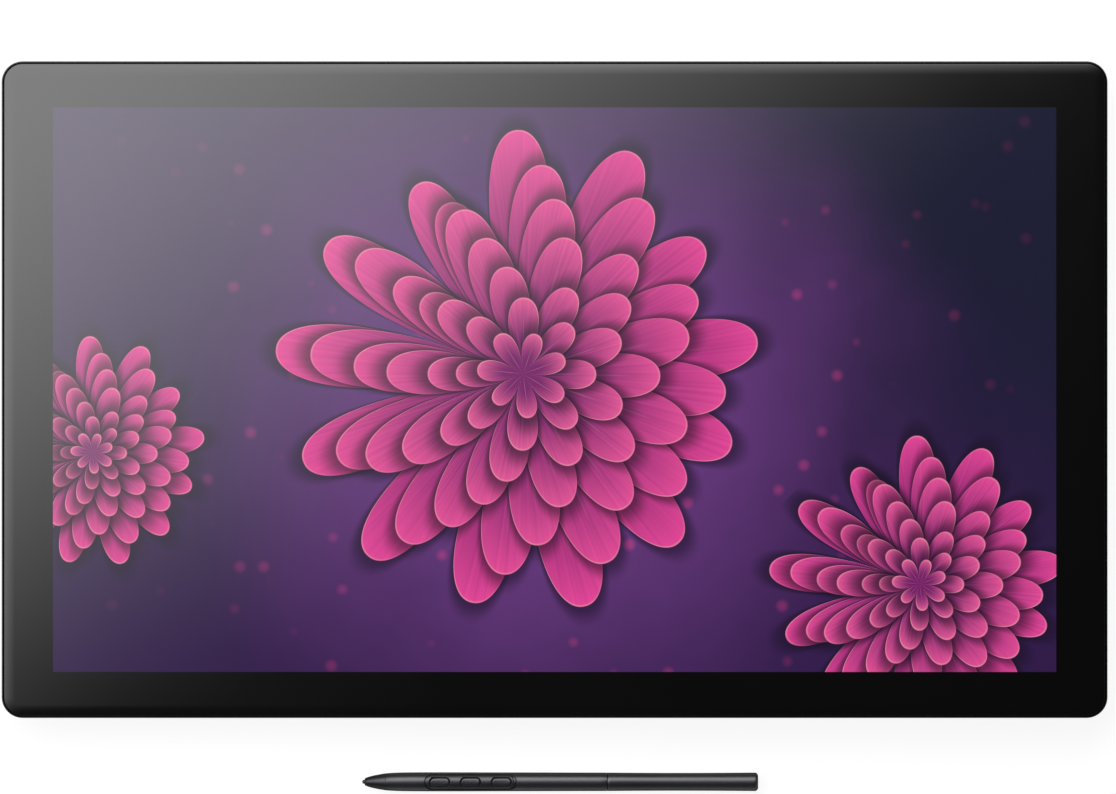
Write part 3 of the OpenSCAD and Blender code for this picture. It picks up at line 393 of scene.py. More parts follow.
def place_of(tree):
    """Object coordinates, which are the rest places of the points in metres."""
    return signal_of(tree, "TexCoord", "Object")


def parts_of(vector):
    """The three parts of a vector."""
    return list(signals(add_node(vector.tree, "SeparateXYZ", {0: vector})).values())


def cloud(tree, size, detail=2.0):
    """Soft noise with clouds of about the size given."""
    return signal_of(tree, "TexNoise", "Fac", {"Vector": place_of(tree), "Scale": 1 / size, "Detail": detail})


def rgba(colour, factor=1.0):
    """Opaque colour whose channels are multiplied by a factor."""
    return (*[factor * channel for channel in colour[:3]], 1.0)


def grey(level):
    """Opaque grey of a linear level."""
    return rgba([level] * 3)


def shader_group(name, inputs, outputs):
    """Empty node group with its named sockets: its tree, its inputs as signals and its output node."""
    tree = bpy.data.node_groups.new(name, "ShaderNodeTree")
    for label, kind, value in inputs:
        tree.interface.new_socket(label, in_out="INPUT", socket_type="NodeSocket" + kind).default_value = value
    for label, kind in outputs:
        tree.interface.new_socket(label, in_out="OUTPUT", socket_type="NodeSocket" + kind)
    return tree, signals(tree.nodes.new("NodeGroupInput")), tree.nodes.new("NodeGroupOutput")


def made_once(build):
    """Lets the function that builds a node group give it back once it is there, under the function's name."""
    @wraps(build)
    def group():
        return bpy.data.node_groups.get(build.__name__) or build(build.__name__)
    return group


def use_group(tree, group, **values):
    """Outputs of a node group placed in a tree."""
    return signals(add_node(tree, "Group", values, node_tree=group))


TEXTURE = [("Height", "Float"), ("Tone", "Float")]


@made_once
def mould_grain(name):
    """Grain of an eroded mould: smooth cells with finer pits, and slow clouding of the tone."""
    tree, given, out = shader_group(name, [("Grain", "Float", 0.4 * MM)], TEXTURE)
    scale = signal_of(tree, "Math", 0, {0: 1.0, 1: given["Grain"]}, operation="DIVIDE")
    inputs = {"Vector": place_of(tree), "Scale": scale}
    cells = signal_of(tree, "TexVoronoi", "Distance", {**inputs, "Smoothness": 0.7}, feature="SMOOTH_F1")
    pits = signal_of(tree, "TexNoise", "Fac", {**inputs, "Detail": 4.0})
    tone = cloud(tree, 45 * MM, 3.0) * 0.7 + pits * 0.3
    give(out, {"Height": cells * 0.6 + pits, "Tone": graded(tone, 0.3, 0.7)})
    return tree


@made_once
def drawn_lines(name):
    """Lines left by rolling, drawing or turning: noise that is stretched along one axis."""
    tree, given, out = shader_group(name, [("Stretch", "Vector", (1.0, 40.0, 40.0))], TEXTURE)
    inputs = {0: place_of(tree), 1: given["Stretch"]}
    stretched = signal_of(tree, "VectorMath", 0, inputs, operation="MULTIPLY")
    lines = signal_of(tree, "TexNoise", "Fac", {"Vector": stretched, "Scale": 60.0, "Detail": 5.0})
    tone = lines * 0.6 + cloud(tree, 8 * MM) * 0.4
    give(out, {"Height": lines, "Tone": graded(tone, 0.3, 0.7)})
    return tree


FLOWER_COLOURS = [(label, "Color", grey(0.0)) for label in ("Under", "Root", "Tip", "Edge")]
PETAL_SHADE = (0.01, 0.004, 0.02, 1)
# Rings of petals from the widest: how many, their reach as a share of the flower's, and their turn in radians.
PETAL_RINGS = ((13, 1.0, 0.1), (12, 0.86, 0.36), (11, 0.72, 0.05), (10, 0.58, 0.33), (9, 0.44, 0.0), (8, 0.31, 0.4),
               (7, 0.19, 0.1))
# X, y and reach of the flowers in the middle, at the lower right and at the left.
FLOWERS = np.array([[-12, 6, 92], [139, -74, 56], [-176, -24, 44]]) * MM


@made_once
def petal_ring(name):
    """One ring of petals over a colour.

    The angle is folded into one petal's sector, from -1 to 1 across it. The petal ends where the distance from
    the flower's middle passes its reach times the square root of one minus that width to the power 2.2. The colour
    runs from root to tip with fine streaks, vein and edge are light lines, and a shade falls on what is below.
    """
    floats = [(label, "Float", 0.0) for label in ("Distance", "Angle", "Petals", "Reach", "Turn")]
    tree, given, out = shader_group(name, FLOWER_COLOURS + floats, [("Color", "Color")])
    sector = (given["Angle"] + given["Turn"]) * (given["Petals"] / (2 * np.pi))
    number = sector.math("FLOOR").math("FLOORED_MODULO", given["Petals"])
    across = sector.math("FRACT") * 2.0 - 1.0
    width = abs(across)
    noise = signal_of(tree, "TexWhiteNoise", "Value", {"W": number}, noise_dimensions="1D")
    own_reach = given["Reach"] * graded(noise, 0.0, 1.0, 0.9, 1.04)
    inside = own_reach * (1.0 - width ** 2.2).math("SQRT") - given["Distance"]
    along = given["Distance"] / own_reach
    inputs = {"W": sector * 26.0, "Scale": 1.0, "Detail": 3.0}
    streaks = signal_of(tree, "TexNoise", "Fac", inputs, noise_dimensions="1D")
    lift = along ** 2.4 + streaks * 0.34
    hollow = graded(width, 0.0, 0.9, 0.16, 0.0) + 0.17
    petal = mixed(lift - hollow, given["Root"], given["Tip"])
    vein = graded(width, 0.0, 0.06, 0.35, 0.0) * graded(along, 0.3, 0.8, 1.0, 0.0)
    edge = graded(inside, 0.25 * MM, 1.1 * MM, 0.85, 0.0, "SMOOTHSTEP") * graded(across, -1.0, 0.6, 1.0, 0.15)
    for line in (vein, edge):
        petal = mixed(line, petal, given["Edge"])
    fall = graded(inside, -9 * MM, 0.0, 0.0, 0.72, "SMOOTHSTEP")
    below = mixed(fall, given["Under"], PETAL_SHADE)
    give(out, {"Color": mixed(graded(inside, 0.0, 0.35 * MM), below, petal)})
    return tree


@made_once
def blossom(name):
    """A many-petalled flower over a colour: rings of petals from the widest to the narrowest."""
    floats = [(label, "Float", 0.0) for label in ("X", "Y", "Reach")]
    tree, given, out = shader_group(name, FLOWER_COLOURS + floats, [("Color", "Color")])
    distance = (given["X"] ** 2.0 + given["Y"] ** 2.0).math("SQRT")
    angle = given["Y"].math("ARCTAN2", given["X"]) + 2 * np.pi
    colour = given["Under"]
    for petals, reach, turn in PETAL_RINGS:
        tip = mixed(0.25 * (1 - reach), given["Tip"], given["Edge"])
        ring = use_group(tree, petal_ring(), Under=colour, Distance=distance, Angle=angle, Petals=petals,
                         Reach=given["Reach"] * reach, Turn=turn, Root=given["Root"], Tip=tip, Edge=given["Edge"])
        colour = ring["Color"]
    give(out, {"Color": colour})
    return tree


def flower_picture(look, x, y):
    """Flowers on a ground that glows in the middle and turns bluer towards the top right, with soft sparks."""
    tree = x.tree
    distance = (x * x + y * y).math("SQRT")
    mist = (cloud(tree, 70 * MM, 4.0) - 0.5) * (60 * MM)
    blue = graded(x * 0.6 + (y + mist), 0.0, 150 * MM, 0.0, 1.0, "SMOOTHSTEP")
    glow = graded(distance + mist, 20 * MM, 165 * MM, 1.0, 0.0, "SMOOTHSTEP")
    specks = signal_of(tree, "TexVoronoi", "Distance", {"Vector": place_of(tree), "Scale": 62.0})
    spark = graded(specks, 0.04, 0.2, 0.3, 0.0, "SMOOTHSTEP") * graded(distance, 60 * MM, 170 * MM, 1.0, 0.1)
    colour = rgba(look.ground)
    for amount, over in ((blue, look.night), (glow, look.glow), (spark, look.petal_tip)):
        colour = mixed(amount, colour, rgba(over))
    at_right = (x - y).math("GREATER_THAN", 130 * MM)
    at_left = x.math("LESS_THAN", -122 * MM)
    middle, right, left = FLOWERS
    flower_x, flower_y, reach = [at_right * to_right + at_left * to_left + plain for plain, to_right, to_left
                                 in zip(middle, right - middle, left - middle)]
    flower = use_group(tree, blossom(), Under=colour, X=x - flower_x, Y=y - flower_y, Reach=reach,
                       Root=rgba(look.petal_root), Tip=rgba(look.petal_tip), Edge=rgba(look.petal_edge))
    return flower["Color"]


def new_finish(name, roughness=0.5, metallic=0.0, ior=1.5, specular=0.5):
    """Material with its principled shader, whose even values are set on the shader itself."""
    material = bpy.data.materials.new(name)
    material.use_nodes = True
    shader = material.node_tree.nodes["Principled BSDF"]
    give(shader, {"Roughness": roughness, "Metallic": metallic, "IOR": ior, "Specular IOR Level": specular})
    return material, material.node_tree, shader


def relief(height, distance):
    """Normal of a fine relief from a height between 0 and 1, as deep as the distance."""
    return signal_of(height.tree, "Bump", "Normal", {"Height": height, "Distance": distance})


def moulded(name, colour, roughness, grain, depth, spread=0.06, specular=0.5):
    """Moulded plastic or rubber: grain in relief, and clouding in tone and gloss."""
    material, tree, shader = new_finish(name, roughness, specular=specular)
    texture = use_group(tree, mould_grain(), Grain=grain)
    give(shader, {
        "Base Color": mixed(texture["Tone"], rgba(colour, 0.82), rgba(colour, 1.18)),
        "Roughness": graded(texture["Tone"], 0.0, 1.0, roughness - spread, roughness + spread),
        "Normal": relief(texture["Height"], depth),
    })
    return material


# Where the colour darkens towards the tip, from one distance from the tip to the other; and the band round the
# joint's neck, painted near black as painted shade of the seam.
DARK_TIP = (4 * MM, 14 * MM)
NECK_SHADE_MIDDLE, NECK_SHADE_HALF = 0.15 * MM, 0.14 * MM


def satin_lacquer(name, colour, roughness):
    """Dark lacquer with fine metal flakes: it mirrors softly, and its colour darkens towards the tip; the joint's
    neck is painted near black as painted shade of the seam.
    """
    material, tree, shader = new_finish(name, roughness, 0.9)
    texture = use_group(tree, mould_grain(), Grain=0.14 * MM)
    along = parts_of(place_of(tree))[0]
    tip = graded(along, PEN_TIP[0] + DARK_TIP[0], PEN_TIP[0] + DARK_TIP[1], 0.45, 0.0)
    joint = PEN_TIP[0] + bpy.context.scene.pen_look.joint
    # Painted shade: a band round the joint's neck, coloured near black to stand in for the shadow in the seam between
    # barrel and tail.
    neck = abs(along - (joint + NECK_SHADE_MIDDLE)).math("LESS_THAN", NECK_SHADE_HALF)
    lacquer = mixed(texture["Tone"], rgba(colour, 0.9), rgba(colour, 1.1))
    give(shader, {
        # The neck's band gets the near-black painted shade over the lacquer.
        "Base Color": mixed(neck, mixed(tip, lacquer, (0.012, 0.012, 0.013, 1)), grey(0.001)),
        "Roughness": graded(texture["Tone"], 0.0, 1.0, roughness - 0.03, roughness + 0.03),
        "Specular Tint": grey(0.08),
        "Normal": relief(texture["Height"], 0.003 * MM),
    })
    return material


def metal(name, colour, roughness, stretch, depth=0.004 * MM):
    """Bare or plated metal with the lines of its making."""
    material, tree, shader = new_finish(name, roughness, 1.0)
    texture = use_group(tree, drawn_lines(), Stretch=stretch)
    give(shader, {
        "Base Color": mixed(texture["Tone"], rgba(colour, 0.8), rgba(colour)),
        "Roughness": graded(texture["Tone"], 0.0, 1.0, roughness + 0.09, roughness - 0.05),
        "Normal": relief(texture["Height"], depth),
    })
    return material


def sheet(name, colour, roughness, clouding):
    """Film or acrylic: an even tone with faint clouds in colour and gloss."""
    material, tree, shader = new_finish(name, roughness)
    tone = cloud(tree, clouding, 3.0)
    give(shader, {
        "Base Color": mixed(tone, rgba(colour, 0.9), rgba(colour)),
        "Roughness": graded(tone, 0.2, 0.8, roughness - 0.05, roughness + 0.05),
    })
    return material


def lacquered_board(name):
    """Circuit board: lacquer over copper tracks that run along and across, with tinned pads and vias."""
    material, tree, shader = new_finish(name, 0.32)
    grid = {"Vector": place_of(tree), "Scale": 420.0, "Mortar Size": 0.012, "Brick Width": 0.9, "Row Height": 0.32,
            "Color1": grey(0.0), "Color2": grey(0.35), "Mortar": grey(1.0)}
    tracks = signal_of(tree, "TexBrick", "Color", grid)
    dots = {"Vector": place_of(tree), "Scale": 520.0, "Randomness": 0.75}
    pads = graded(signal_of(tree, "TexVoronoi", "Distance", dots), 0.13, 0.17, 1.0, 0.0)
    lacquer = mixed(cloud(tree, 12 * MM), linear("0d3a24"), linear("14482d"))
    give(shader, {
        "Base Color": mixed(pads, mixed(tracks, lacquer, linear("2f6b45")), linear("b9bcc0")),
        "Metallic": pads,
        "Normal": relief(tracks, 0.03 * MM),
    })
    return material


def etched_screen(name):
    """The bonded screen: lit picture inside a printed border, behind glass etched against glare."""
    look = bpy.context.scene.screen_look
    material, tree, shader = new_finish(name, look.roughness, ior=1.56, specular=0.62)
    x, y, z = parts_of(place_of(tree))
    x, y = x - SLATE_MIDDLE[0], y - SLATE_MIDDLE[1]
    lit = graded(z, GLASS_HIGH[2] - 0.2 * MM, GLASS_HIGH[2] - 0.1 * MM)
    for place, size in ((x, look.picture_width), (y, look.picture_height)):
        lit = lit * graded(abs(place), size / 2 - 0.1 * MM, size / 2, 1.0, 0.0)
    etching = cloud(tree, 0.05 * MM, 1.0)
    smears = cloud(tree, 60 * MM, 4.0)
    give(shader, {
        "Base Color": mixed(etching, rgba(look.ink), rgba(look.ink, 1.25)),
        "Roughness": graded(smears, 0.3, 0.7, look.roughness - 0.012, look.roughness + 0.012),
        "Emission Color": mixed(lit, grey(0.0), flower_picture(look, x, y)),
        "Emission Strength": 1.0,
        "Normal": relief(etching, 0.0006 * MM),
    })
    return material


def finish(slot):
    """The finish of a material slot, made when it is first asked for."""
    name = slot + "_finish"
    made = bpy.data.materials.get(name)
    if made:
        return made
    casing = bpy.context.scene.casing_look
    pen = bpy.context.scene.pen_look
    finishes = {
        "etched_glass": (etched_screen,),
        "border_ink": (sheet, linear("0b0b0c"), 0.4, 5 * MM),
        "clear_film": (sheet, linear("c8d2da"), 0.15, 20 * MM),
        "display": (sheet, linear("1d1430"), 0.12, 30 * MM),
        "white_film": (sheet, linear("f0f0ec"), 0.45, 25 * MM),
        "clear_acrylic": (sheet, linear("dde7ea"), 0.1, 40 * MM),
        "light_strip": (sheet, linear("f2eed2"), 0.3, 3 * MM),
        "adhesive": (moulded, linear("2b2b2b"), 0.85, 0.5 * MM, 0.05 * MM),
        "sheet_aluminium": (metal, linear("d3d5d8"), 0.34, (1.5, 30.0, 30.0)),
        "fin_aluminium": (metal, linear("d8d3c9"), 0.36, (20.0, 1.5, 20.0)),
        "steel": (metal, linear("c2c4c8"), 0.26, (2.0, 25.0, 25.0)),
        "dark_steel": (metal, linear("4a4a4d"), 0.38, (20.0, 20.0, 3.0)),
        "brass": (metal, linear("cfa45a"), 0.28, (12.0, 12.0, 60.0)),
        "copper": (metal, linear("c8825a"), 0.3, (2.0, 20.0, 20.0)),
        "coil_winding": (metal, linear("a05a2c"), 0.3, (70.0, 2.0, 2.0), 0.05 * MM),
        "circuit_board": (lacquered_board,),
        "frame_black": (moulded, casing.frame_black, 0.36, 0.16 * MM, 0.003 * MM, 0.04, 0.6),
        "cover_black": (moulded, casing.cover_black, 0.5, 0.42 * MM, 0.03 * MM),
        "trim_black": (moulded, linear("171719"), 0.38, 0.2 * MM, 0.006 * MM),
        "key_black": (moulded, linear("29292c"), 0.44, 0.3 * MM, 0.01 * MM),
        "foot_rubber": (moulded, linear("1a1a1a"), 0.8, 0.5 * MM, 0.05 * MM),
        "pen_charcoal": (satin_lacquer, pen.charcoal, 0.39),
        "pen_trim": (satin_lacquer, pen.trim, 0.4),
        "nib_plastic": (moulded, linear("2c2c2c"), 0.5, 0.1 * MM, 0.004 * MM),
        "carrier_plastic": (moulded, linear("3a3a3c"), 0.5, 0.3 * MM, 0.01 * MM),
    }
    maker, *values = finishes[slot]
    return maker(name, *values)


# Pieces

# Half the length and half the width of the power button.
POWER_HALF = np.array([6, 1.4]) * MM


class PENDISPLAY_OT_screen(Operator):
    """The bonded screen: cover glass, printed border and touch film as one slab with a rounded edge"""

    bl_idname = "pendisplay.screen"
    bl_label = "Screen"

    CORNER, BACK_CHAMFER = 7 * MM, 0.05 * MM
    # How far in from the edge the single face of the top starts.
    FACE_INSET = 4 * MM

    def execute(self, context):
        look = context.scene.screen_look
        half = (GLASS_HIGH - GLASS_LOW)[:2] / 2
        low, top = span("border_mask")[0][2], GLASS_HIGH[2]
        back = [[self.BACK_CHAMFER, low], [0, low + self.BACK_CHAMFER]]
        profile = np.concatenate([back, top_edge(top, look.edge, 7), [[self.FACE_INSET, top]]])
        rings = rect_rings(inset_rows(*half, self.CORNER, profile), SLATE_MIDDLE, 24)
        put_piece("bonded_screen", [solid(rings)], "cover_glass", "border_mask", "touch_sensor")
        return {"FINISHED"}


class PENDISPLAY_OT_front_frame(Operator):
    """The front frame: a band with a rounded rim, a lip round the glass, the panel's pocket and a deck"""

    bl_idname = "pendisplay.front_frame"
    bl_label = "Front frame"

    corner: length("Corner", "Radius of the slate's corners", 8 * MM)
    lip: length("Lip", "Width of the lip round the glass", 0.85 * MM)
    groove: length("Groove", "How far the lip falls towards the glass", 0.75 * MM)
    band: length("Band", "Thickness of the band's wall", 2 * MM)
    rim_low: length("Rim", "Depth of the rim below the glass", 0.2 * MM)
    ledge_low: length("Ledge", "Depth of the ledge below the glass", 1.9 * MM)
    pocket_low: length("Pocket floor", "Depth of the pocket's floor below the glass", 7 * MM)
    pocket_margin: length("Pocket margin", "Pocket beyond the panel on each side", 3.5 * MM)
    pocket_wall: length("Pocket wall", "Wall between the pocket and the groove", 1.5 * MM)
    deck_low: length("Deck", "Depth of the deck's underside below the glass", 8.5 * MM)

    FOOT_ROUND, CREST = 0.3 * MM, 0.04 * MM
    # Chamfer at the foot of the lip: across and down.
    LIP_EASE, LIP_DROP = 0.06 * MM, 0.1 * MM
    RIDGE_CORNER, GROOVE_CORNER, POCKET_CORNER = 3.5 * MM, 6 * MM, 2 * MM
    # Power hole: gap round the button, and how far the cutter reaches on both sides of the wall.
    HOLE_GAP, HOLE_REACH = 0.2 * MM, 3 * MM

    def execute(self, context):
        casing = context.scene.casing_look
        piece = put_piece("front_band", [solid(self.band_rings(casing))], "front_frame")
        self.cut_power_hole(piece)
        return {"FINISHED"}

    def band_rings(self, casing):
        """Profile of the band carried round the slate, from the deck's underside out, up and in to the pocket."""
        top = GLASS_HIGH[2]
        outer = (FRAME_HIGH - FRAME_LOW)[:2] / 2
        panel_low, panel_high = span("lcd_panel")
        pocket = (panel_high - panel_low)[:2] / 2 + self.pocket_margin
        ridge = pocket + self.pocket_wall
        groove = outer - self.band
        deck = top - self.deck_low
        rim = top - self.rim_low
        ledge = top - self.ledge_low
        roof = ledge - self.pocket_wall
        groove_low = rim - self.groove
        wall = np.concatenate([
            low_edge(deck, self.FOOT_ROUND, 4),
            top_edge(rim, casing.rim_round, 6),
            [[casing.rim_round + self.CREST, rim], [self.lip - self.LIP_EASE, groove_low],
             [self.lip, groove_low - self.LIP_DROP], [self.lip, ledge]],
        ])
        rows = np.concatenate([
            [[*ridge, self.RIDGE_CORNER, deck], [*ridge, self.RIDGE_CORNER, roof],
             [*groove, self.GROOVE_CORNER, roof], [*groove, self.GROOVE_CORNER, deck]],
            inset_rows(*outer, self.corner, wall),
            [[*pocket, self.POCKET_CORNER, ledge], [*pocket, self.POCKET_CORNER, top - self.pocket_low]],
        ])
        return rect_rings(rows, SLATE_MIDDLE, 24)

    def cut_power_hole(self, piece):
        """Takes the power button's hole out of the band with a stadium-shaped cutter."""
        low, high = span("power_button")
        middle = (low + high) / 2
        half = POWER_HALF + self.HOLE_GAP
        rows = [[*half, half[1], -self.HOLE_REACH], [*half, half[1], self.HOLE_REACH]]
        rings = rect_rings(rows, np.zeros(3), 12)
        turned = np.stack([rings[..., 0], -rings[..., 2], rings[..., 1]], -1)
        points, faces = solid(turned + [middle[0], FRAME_HIGH[1], middle[2]])
        cutter = add_object("power_hole", mesh_of("power_hole", points, faces))
        cut = piece.modifiers.new("Power hole", "BOOLEAN")
        cut.object = cutter
        graph = bpy.context.evaluated_depsgraph_get()
        mesh = bpy.data.meshes.new_from_object(piece.evaluated_get(graph))
        piece.modifiers.clear()
        piece.data = mesh
        shade(mesh)
        bpy.data.objects.remove(cutter)


class PENDISPLAY_OT_mouldings(Operator):
    """The rear cover and what is set into it, with their moulded edges rounded"""

    bl_idname = "pendisplay.mouldings"
    bl_label = "Rear cover and grilles"

    def execute(self, context):
        edge = context.scene.casing_look.edge
        put_moulding("rear_cover", edge)
        put_moulding("key_bezels", edge)
        put_moulding("vent_grilles", 0.7 * edge)
        put_moulding("exhaust_grilles", 0.6 * edge, joined=False)
        put_moulding("io_bracket", 0.4 * edge)
        return {"FINISHED"}


class PENDISPLAY_OT_keys(Operator):
    """The keys of both grips and the power button: stadiums with rounded edges and a hollow face"""

    bl_idname = "pendisplay.keys"
    bl_label = "Keys"

    key_edge: length("Key edge", "Radius of the rounding round a key's face", 0.7 * MM)
    flange: length("Flange", "Flange that holds a key in its bezel", 1 * MM)
    power_edge: length("Power edge", "Radius of the rounding round the power button", 0.35 * MM)

    # From a key's face to its flange, the thickness of a flange, and half the width of a key's stem.
    FLANGE_DROP, FLANGE_HEIGHT, STEM_HALF = 2.6 * MM, 0.8 * MM, 1.5 * MM
    # How deep the power button reaches into the band, and its flange on each side.
    POWER_REACH, POWER_FLANGE = 2.9 * MM, 0.6 * MM

    def execute(self, context):
        for side in ("left", "right"):
            for number in range(1, 5):
                self.put_key(f"key_{side}_{number}", context.scene.casing_look.key_dish)
        self.put_power_button()
        return {"FINISHED"}

    def put_key(self, node, dish):
        """Face of a key from its middle line out: a parabola deepest in the middle, then a quarter round."""
        low, high = span(node)
        half = (high - low)[:2] / 2 - self.flange
        middle = (low + high) / 2 * [1, 1, 0]
        reach = np.linspace(half[0], self.key_edge, 9)
        hollow = dish * ((reach - self.key_edge) / (half[0] - self.key_edge)) ** 2
        face = np.stack([reach, low[2] + hollow], 1)
        flange_low = low[2] + self.FLANGE_DROP
        flange_top = flange_low + self.FLANGE_HEIGHT
        stem = half[0] - self.STEM_HALF
        back = [[0, flange_low], [-self.flange, flange_low], [-self.flange, flange_top], [stem, flange_top],
                [stem, high[2]]]
        rows = inset_rows(*half, half[0], np.concatenate([face, low_edge(low[2], self.key_edge, 7)[1:], back]))
        put_piece("dished_" + node, [solid(rect_rings(rows, middle, 14))], node)

    def put_power_button(self):
        """Stadium with a quarter round at its face, turned so that its face looks out of the top edge."""
        low, high = span("power_button")
        middle = (low + high) / 2 * [1, 0, 1]
        back = FRAME_HIGH[1] - self.POWER_REACH
        shoulder = back + self.FLANGE_HEIGHT
        flange = [[-self.POWER_FLANGE, back], [-self.POWER_FLANGE, shoulder], [0, shoulder]]
        profile = np.concatenate([flange, top_edge(high[1], self.power_edge, 6)])
        rings = rect_rings(inset_rows(*POWER_HALF, POWER_HALF[1], profile), np.zeros(3), 14)
        turned = np.stack([-rings[..., 0], rings[..., 2], rings[..., 1]], -1) + middle
        put_piece("power_cap", [solid(turned)], "power_button")


class PENDISPLAY_OT_legs(Operator):
    """The legs with their soft tips and pins"""

    bl_idname = "pendisplay.legs"
    bl_label = "Legs"

    def execute(self, context):
        edge = context.scene.casing_look.edge
        for side in ("left", "right"):
            put_moulding(f"leg_{side}", 1.4 * edge)
            put_moulding(f"leg_tip_{side}", 1.6 * edge)
        put_moulding("leg_pins", 0.8 * edge)
        return {"FINISHED"}


class PENDISPLAY_OT_fittings(Operator):
    """Feet, threaded inserts, screws and connectors"""

    bl_idname = "pendisplay.fittings"
    bl_label = "Fittings"

    foot_edge: length("Foot edge", "Radius of the rounding under a foot", 0.8 * MM)
    foot_width: length("Foot width", "Width of a foot", 7 * MM)
    insert_radius: length("Insert radius", "Outer radius of a threaded insert", 4 * MM)
    bore: length("Bore", "Inner radius of the thread", 2 * MM)
    pitch: length("Pitch", "Rise of the thread in one turn", 0.7 * MM)

    THREAD_START, SLEEVE_CHAMFER, KNURL = 0.3 * MM, 0.25 * MM, 0.1 * MM

    def execute(self, context):
        self.put_feet()
        self.put_inserts(context.scene.casing_look.thread)
        put_moulding("cover_screws", 0.2 * MM)
        put_moulding("usb_c_ports", 0.08 * MM, joined=False)
        put_moulding("hdmi_port", 0.08 * MM)
        return {"FINISHED"}

    def put_feet(self):
        """A foot is a stadium carried up from a rounded sole."""
        low, high = span("rubber_feet")
        profile = np.concatenate([low_edge(low[2], self.foot_edge, 6), [[0, high[2]]]])
        radius = self.foot_width / 2
        skins = []
        for corners in quarter_boxes("rubber_feet"):
            middle = corners.mean(0) * [1, 1, 0]
            half = (corners[1] - corners[0])[:2] / 2
            skins.append(solid(rect_rings(inset_rows(*half, radius, profile), middle, 14)))
        put_piece("soft_feet", skins, "rubber_feet")

    def put_inserts(self, thread):
        """A threaded sleeve: inside, the radius rises and falls as a triangle wave along a helix."""
        steps = 40
        turn = np.arange(steps) / steps * 2 * np.pi
        skins = []
        for low, high in quarter_boxes("vesa_inserts"):
            middle = (low + high) / 2 * [1, 1, 0]
            height = np.linspace(low[2] + self.THREAD_START, high[2] - self.THREAD_START, 110)
            wave = (height[:, None] / self.pitch - turn / (2 * np.pi)) % 1.0
            inner = self.bore + thread * (1 - np.abs(2 * wave - 1))
            mouth = np.full(steps, self.bore + 1.3 * thread)
            rim = np.full(steps, self.insert_radius - self.SLEEVE_CHAMFER)
            knurl = self.insert_radius - self.KNURL * (np.arange(steps) % 2)
            radius = np.array([mouth, *inner, mouth, rim, knurl, knurl, rim])
            level = np.array([low[2], *height, high[2], high[2], high[2] - self.SLEEVE_CHAMFER,
                              low[2] + self.SLEEVE_CHAMFER, low[2]])[:, None]
            grid = np.stack([radius * np.cos(turn), radius * np.sin(turn), np.broadcast_to(level, radius.shape)], -1)
            skins.append(skin(grid + middle, round_rows=True))
        put_piece("threaded_inserts", skins, "vesa_inserts")


def quarter_boxes(node):
    """Lowest and highest corners of a node's four like solids, one in each quarter of the slate."""
    points = frame["nodes"][node].data.vertices
    places = np.empty(3 * len(points))
    points.foreach_get("co", places)
    places = places.reshape(-1, 3)
    quarter = 2 * (places[:, 0] > SLATE_MIDDLE[0]) + (places[:, 1] > SLATE_MIDDLE[1])
    return [np.array([places[quarter == n].min(0), places[quarter == n].max(0)]) for n in range(4)]


class PENDISPLAY_OT_cooling(Operator):
    """The blower rotors behind the vents"""

    bl_idname = "pendisplay.cooling"
    bl_label = "Blowers"

    def execute(self, context):
        for side in ("left", "right"):
            put_moulding(f"fan_rotor_{side}", 0.1 * MM, 1, joined=False)
        return {"FINISHED"}


class PENDISPLAY_OT_inner_parts(Operator):
    """Finishes on the parts that keep their own shape"""

    bl_idname = "pendisplay.inner_parts"
    bl_label = "Inner parts"

    def execute(self, context):
        for node, part in frame["nodes"].items():
            dress(part.data, SLOT_OF[node])
        return {"FINISHED"}


# Pen

# Radii of the barrel's bore, the nib's and the weight's.
BORE, NIB_BORE, WEIGHT_BORE = 2.75 * MM, 0.92 * MM, 2.4 * MM
# Height of the window's foot above the axis, place of the nose's mouth, and rounding at the seams.
WINDOW_FLOOR, MOUTH, SEAM_EDGE = 0.6 * MM, 1.0 * MM, 0.06 * MM
# Half widths below this one count as none.
SLIVER = 0.004 * MM
# Outline: power of the nose's curve, shoulder behind it with its ease, and taper of the barrel in radius.
NOSE_POWER, SHOULDER, SHOULDER_EASE, BARREL_TAPER = 0.41, 0.4 * MM, 4 * MM, 0.13 * MM


def pen_radius(pen, along):
    """Outer radius at a distance from the tip.

    The nose is a power curve, the grip comes up to the full radius as an exponential, and the rest of the barrel
    narrows in a straight line to the joint.
    """
    full = pen.diameter / 2
    nose = (full - SHOULDER) * (np.maximum(along, 0) / pen.nose) ** NOSE_POWER
    grip = full - SHOULDER * np.exp(-(along - pen.nose) / SHOULDER_EASE)
    taper = full - BARREL_TAPER * (along - pen.grip) / (pen.joint - pen.grip)
    return np.select([along < pen.nose, along < pen.grip], [nose, grip], taper)


def edge_drop(depth, edge):
    """How far a surface falls at a distance from its edge, for a quarter round of that radius."""
    near = np.clip(edge - depth, 0, edge)
    return edge - np.sqrt(edge ** 2 - near ** 2)


def stadium_half(along, middle, size, width):
    """Half the width of a stadium along its length: straight between two half circles."""
    past = np.clip(np.abs(along - middle) - (size - width) / 2, 0, width / 2)
    half = np.sqrt(width ** 2 / 4 - past ** 2)
    return np.where(half > SLIVER, half, 0)


def stadium_depth(along, across, middle, size, width):
    """Distance from a stadium's outline, positive inside it."""
    past = np.maximum(np.abs(along - middle) - (size - width) / 2, 0)
    return width / 2 - np.hypot(past, across)


def stadium_stations(middle, size, width, steps):
    """Stations along a stadium that close up towards its tips: half circles as the sine of an even turn."""
    turn = np.linspace(0, np.pi / 2, steps)
    reach = (size - width) / 2 + width / 2 * np.sin(turn)
    return np.concatenate([middle - reach, middle + reach, [middle]])


def closing(steps):
    """Shares from 0 to 1 that close up towards both ends."""
    return 0.5 - 0.5 * np.cos(np.linspace(0, np.pi, steps))


def on_pen(along, across, height):
    """Points at distances along, across and above the pen's axis."""
    return np.stack(np.broadcast_arrays(along, across, height), -1) + PEN_TIP


